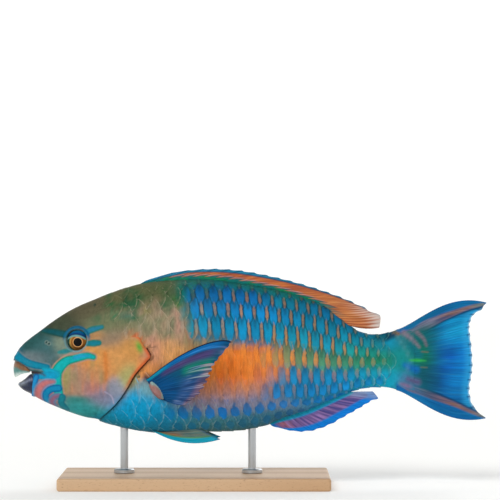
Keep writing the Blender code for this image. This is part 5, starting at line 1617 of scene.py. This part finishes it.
turn = np.linspace(-math.pi / 2, math.pi / 2, 241)[:, None]
down = np.linspace(0, 1, 37)[None, :]
root_line, edge_line = curve_through(UPPER_BEAK_ROOT), curve_through(UPPER_BEAK_EDGE)
reach = UPPER_BEAK_REAR - UPPER_BEAK_FRONT
plan_x = UPPER_BEAK_REAR - reach * np.cos(turn) ** 0.93
plan_y = UPPER_BEAK_HALF * np.sign(np.sin(turn)) * np.abs(np.sin(turn)) ** 0.93
steps_round = np.hypot(np.diff(plan_x[:, 0]), np.diff(plan_y[:, 0]))
distance = np.concatenate([[0], np.cumsum(steps_round)])[:, None]
distance = distance - distance[120]
tooth = tooth_wave(distance)
suture = bell(distance, SUTURE_HALF)
top_z = root_line(plan_x) + 1
low_z = edge_line(plan_x) + TOOTH_SCALLOP * (1 - tooth) + 0.5 * suture
height = top_z + (low_z - top_z) * down
bulge = 1 * (2 * down - 1) ** 2 * np.abs(np.cos(turn)) ** 1.5 + 0.35 * (1 - down) ** 2
relief = TOOTH_RELIEF * tooth * smooth(0.1, 0.6, down) - 0.35 * suture
outward = np.stack([-np.cos(turn), np.sin(turn)], -1)
plan = np.stack([plan_x, plan_y], -1)
thick = BEAK_THICKNESS * (1 - 0.85 * down ** 1.5)
shells = []
for inward in (0, 1):
    moved = plan + outward * (relief * (1 - inward) - bulge - thick * inward)[..., None]
    shells.append(np.stack([moved[..., 0], moved[..., 1], height + 0 * turn], -1))
beak_upper = wrapped_grid("tooth_plate_upper", two_faced(*shells))
grid_down = np.tile(two_faced(down, down), (241, 1)).T.ravel()
grid_along = np.tile(distance, (1, 75)).T.ravel()
colours = plain_colour(len(grid_down), ENAMEL_SIDE)
back_side = smooth(5.5, 12, np.abs(grid_along))
colours = dabbed(colours, [
    (smooth(0.58, 0.3, grid_down - 0.25 * back_side) * 0.9, ENAMEL_ROOT),
    (smooth(0.66, 0.98, grid_down) * (1 - 0.4 * back_side), ENAMEL_EDGE),
    (smooth(0.3, 0.1, grid_down - 0.1 * back_side) * 0.7, "#3c1e0c"),
    (0.35 * (1 - tooth_wave(grid_along)), "#2f4d4c"),
    (0.4 * streaks(grid_along, grid_down * 9, 1.3, 6, 31) * smooth(1, 0.5, grid_down), "#3c5a50")])
finish_beak(beak_upper, colours, "beak_upper")

stations = np.linspace(0, 1, 90)[:, None] ** 1.3
plate_x = LOWER_BEAK_FRONT + LOWER_BEAK_LENGTH * stations
edge_z = curve_through(LOWER_BEAK_EDGE)(plate_x)
edge_share = np.clip(share_at(plate_x + 1, edge_z), -0.995, 0)
across = np.linspace(-1, 1, 121)[None, :]
side_of = np.where(across < 0, -1, 1)
plate_share = -1 + (edge_share + 1) * np.abs(across)
along_edge = np.concatenate([[0], np.cumsum(np.hypot(np.diff(plate_x[:, 0]), np.diff(edge_z[:, 0])))])
tooth = tooth_wave(along_edge[:, None])
near_edge = smooth(0.4, 1, np.abs(across))
suture = bell(across * (1 + edge_share) * 14, SUTURE_HALF)
surface = on_body(plate_x + 1 + 0 * across, plate_share, side_of)
outward = body_normal(plate_x + 1 + 0 * across, plate_share, side_of)
relief = TOOTH_RELIEF * tooth * near_edge - 0.3 * suture
surface = surface - outward * BEAK_INSET + outward * relief[..., None]
surface[..., 0] -= 1
surface[..., 2] -= TOOTH_SCALLOP * (1 - tooth) * near_edge ** 4
thick = np.minimum(BEAK_THICKNESS * (1 - 0.85 * np.abs(across) ** 5), 0.15 + 6 * stations)
inner = surface - outward * thick[..., None]
beak_lower = wrapped_grid("tooth_plate_lower", two_faced(surface, inner))
grid_across = np.tile(two_faced(across, across), (90, 1)).T.ravel()
grid_station = np.tile(stations, (1, 243)).T.ravel()
colours = plain_colour(len(grid_across), LOWER_ENAMEL)
rim_line = bell(np.abs(grid_across) - 0.93, 0.03) * smooth(0.05, 0.2, grid_station)
colours = dabbed(colours, [
    (smooth(0.45, 1, np.abs(grid_across)) * smooth(0.85, 0.3, grid_station), LOWER_ENAMEL_EDGE),
    (smooth(0.35, 0, grid_station) * 0.8, "#7a8a92"),
    (rim_line * 0.8, "#1c1428"),
    (bell(np.abs(grid_across) - 0.8, 0.06) * 0.6, "#8f98b0"),
    (0.35 * streaks(grid_station * 30, grid_across * 6, 2, 1, 33), "#1b2740")])
finish_beak(beak_lower, colours, "beak_lower")

# Eyes: blown glass set in the sockets, painted from behind, so that a sharp highlight lies over the
# paint. The pupil is black with a gold ring, the iris orange brown over an olive rim, and the upper
# third is blue with a pale arc on its rear side, which is a painted highlight.
EYE_RADIUS = 6.65
EYE_DEPTH = 4.8          # half the eye's thickness
EYE_PROUD = 1.7          # of the skin
PUPIL = (1.3, -0.8)      # its place from the eye's centre, towards the tail and up
PUPIL_RADIUS = 2.7
GOLD_RADIUS = 3
GOLD = "#d8a468"
PUPIL_BLACK = "#050507"
glass = finish("painted glass eye")
seen_at = node(glass, "Attribute", {}, "Vector", attribute_name="EyePlace")
from_pupil = node(glass, "VectorMath", {0: seen_at, 1: (PUPIL[0], PUPIL[1], 0)}, operation="SUBTRACT")
pupil_reach = node(glass, "VectorMath", {0: from_pupil}, "Value", operation="LENGTH")
iris_grain = node(glass, "TexNoise", {"Vector": from_pupil, "Scale": 1.4, "Detail": 4}, "Fac")
iris_shift = node(glass, "Math", {0: iris_grain, 1: 0.9, 2: -0.45}, operation="MULTIPLY_ADD")
iris_reach = node(glass, "Math", {0: pupil_reach, 1: iris_shift}, operation="ADD")
iris_share = node(glass, "Math", {0: iris_reach, 1: 8}, operation="DIVIDE")
iris = node(glass, "ValToRGB", {"Fac": iris_share}, "Color",
            [(0.30, "#2a1608"), (0.40, "#a8682c"), (0.47, "#6f4318"), (0.56, "#a06a2c"), (0.64, "#b08840"),
             (0.71, "#4b5a34"), (0.82, "#123a3c")])
rearwards, upwards, _ = node(glass, "SeparateXYZ", {"Vector": seen_at}).node.outputs
lid_sag = node(glass, "Math", {0: rearwards, 1: rearwards}, **TIMES)
lid_line = node(glass, "Math", {0: lid_sag, 1: 0.06, 2: upwards}, operation="MULTIPLY_ADD")
upper_blend = node(glass, "MapRange", {"Value": lid_line, "From Min": 2.3, "From Max": 3}, **SOFT_EDGE)
upper_share = node(glass, "MapRange", {"Value": lid_line, "From Min": 2.6, "From Max": 6})
# The pale first stops paint a highlight, an arc along the lower edge of the blue.
upper_blue_and_highlight = node(glass, "ValToRGB", {"Fac": upper_share}, "Color",
                  [(0, "#7a9a84"), (0.25, "#5f9aa0"), (0.45, "#0a2c58"), (0.72, "#0a4880"),
                   (1, "#0a6890")])
low_shade = node(glass, "MapRange", {"Value": upwards, "From Min": -5.2, "From Max": -1.5, "To Min": 0.35})
iris = node(glass, "Mix", {"Factor": 1, "A": iris, "B": low_shade}, **TINT)
painted_iris = node(glass, "Mix", {"Factor": upper_blend, "A": iris, "B": upper_blue_and_highlight}, data_type="RGBA")
gold = node(glass, "MapRange", {
    "Value": pupil_reach, "From Min": GOLD_RADIUS + 0.15, "From Max": GOLD_RADIUS}, **SOFT_EDGE)
ringed = node(glass, "Mix", {"Factor": gold, "A": painted_iris, "B": linear(GOLD)}, data_type="RGBA")
pupil_edge = node(glass, "MapRange", {
    "Value": pupil_reach, "From Min": PUPIL_RADIUS + 0.12, "From Max": PUPIL_RADIUS - 0.08}, **SOFT_EDGE)
eye_tone = node(glass, "Mix", {"Factor": pupil_edge, "A": ringed, "B": linear(PUPIL_BLACK)},
                data_type="RGBA")
coat_with(glass, {
    "Base Color": eye_tone, "Roughness": 0.35, "Specular IOR Level": 0.05, "Coat Weight": 0.2,
    "Coat Roughness": 0.02, "Coat IOR": 1.35})
for word, side in SIDES:
    centre, out = eye_axis(side)
    centre = Vector(centre) + Vector(out) * (EYE_PROUD - EYE_DEPTH)
    facing = Vector(out).to_track_quat("Z", "Y")
    bpy.ops.object.select_all(action="DESELECT")
    bpy.ops.mesh.primitive_uv_sphere_add(segments=96, ring_count=64, radius=EYE_RADIUS * MM,
                                         location=(centre.x * MM, centre.y * MM,
                                                   (centre.z + AXIS_HEIGHT) * MM),
                                         rotation=facing.to_euler(), scale=(1, 1, EYE_DEPTH / EYE_RADIUS))
    eye = bpy.context.object
    eye.name = eye.data.name = f"glass_eye_{word}"
    bpy.ops.object.transform_apply(location=True, rotation=True, scale=True)
    eye_places = places_of(eye) - np.array(centre)
    flat_out = np.array([out[0], out[1], 0]) / math.hypot(out[0], out[1])
    rearward = np.array([abs(flat_out[1]), -flat_out[0] * np.sign(flat_out[1]), 0])
    seen = np.stack([eye_places @ rearward, eye_places[:, 2], np.zeros(len(eye_places))], 1)
    add_marks(eye, "EyePlace", seen)
    shade(eye, 60)
    eye.data.materials.append(glass)
    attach(eye, "root")
    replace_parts(eye, f"eye_{word}")

# Floor and light: a pale seamless cove, like a photographer's table, in even light from all round,
# with three broad lamps that give the fish its form and its highlights.
COVE = "#fafaf8"
COVE_RADIUS = 4.2
COVE_HEIGHT = 1.5
COVE_BEND = 1.3
BEND_STEPS = 14
bpy.ops.object.select_all(action="DESELECT")
bpy.ops.mesh.primitive_circle_add(vertices=128, radius=COVE_RADIUS - COVE_BEND, fill_type="NGON")
cove = bpy.context.object
cove.name = cove.data.name = "studio_cove"
bpy.ops.object.mode_set(mode="EDIT")
bpy.ops.mesh.select_mode(type="EDGE")
bpy.ops.mesh.select_all(action="SELECT")
for step in range(BEND_STEPS):
    before, after = (math.pi / 2 * s / BEND_STEPS for s in (step, step + 1))
    rise = COVE_BEND * (math.cos(before) - math.cos(after))
    inner = COVE_RADIUS - COVE_BEND + COVE_BEND * math.sin(before)
    outer = COVE_RADIUS - COVE_BEND + COVE_BEND * math.sin(after)
    bpy.ops.mesh.extrude_edges_move(TRANSFORM_OT_translate={"value": (0, 0, rise)})
    bpy.ops.transform.resize(value=(outer / inner, outer / inner, 1), center_override=(0, 0, 0))
bpy.ops.mesh.extrude_edges_move(TRANSFORM_OT_translate={"value": (0, 0, COVE_HEIGHT - COVE_BEND)})
bpy.ops.object.mode_set(mode="OBJECT")
shade(cove, 30)
cove_paint = finish("matt studio paint")
coat_with(cove_paint, {"Base Color": linear(COVE), "Roughness": 0.95, "Specular IOR Level": 0.1,
                       "Emission Color": linear(COVE), "Emission Strength": 0.12})
cove.data.materials.append(cove_paint)

SKY = 0.42
world = bpy.data.worlds.new("studio light")
world.use_nodes = True
world.node_tree.nodes["Background"].inputs["Color"].default_value = (1, 1, 1, 1)
world.node_tree.nodes["Background"].inputs["Strength"].default_value = SKY
bpy.context.scene.world = world
# Each light is where it comes from, how wide it looks from the fish in degrees, and its strength.
for name, place, width, strength in (("key", (-0.45, -1, 0.85), 26, 1.35),
                                     ("fill", (0.35, -1, 0.05), 40, 0.8),
                                     ("back", (0.5, 1, 0.9), 40, 0.9)):
    lamp = bpy.data.lights.new(name, "SUN")
    lamp.angle = math.radians(width)
    lamp.energy = strength
    lamp_head = bpy.data.objects.new(name, lamp)
    bpy.context.scene.collection.objects.link(lamp_head)
    lamp_head.rotation_euler = Vector(place).to_track_quat("Z", "Y").to_euler()

# Camera: level with the fish, square on to its left side, as the photograph was taken.
CAMERA_PLACE = (-0.0003, -1.7616, 0.1494)    # metres
LENS = 200                                   # mm
SIGHT = 20                                   # metres that the camera sees
camera = bpy.data.objects.new("camera", bpy.data.cameras.new("camera"))
bpy.context.scene.collection.objects.link(camera)
camera.location = CAMERA_PLACE
camera.rotation_euler = (math.pi / 2, 0, 0)
camera.data.lens = LENS
camera.data.clip_end = SIGHT
bpy.context.scene.camera = camera
bpy.context.scene.view_settings.view_transform = "Standard"
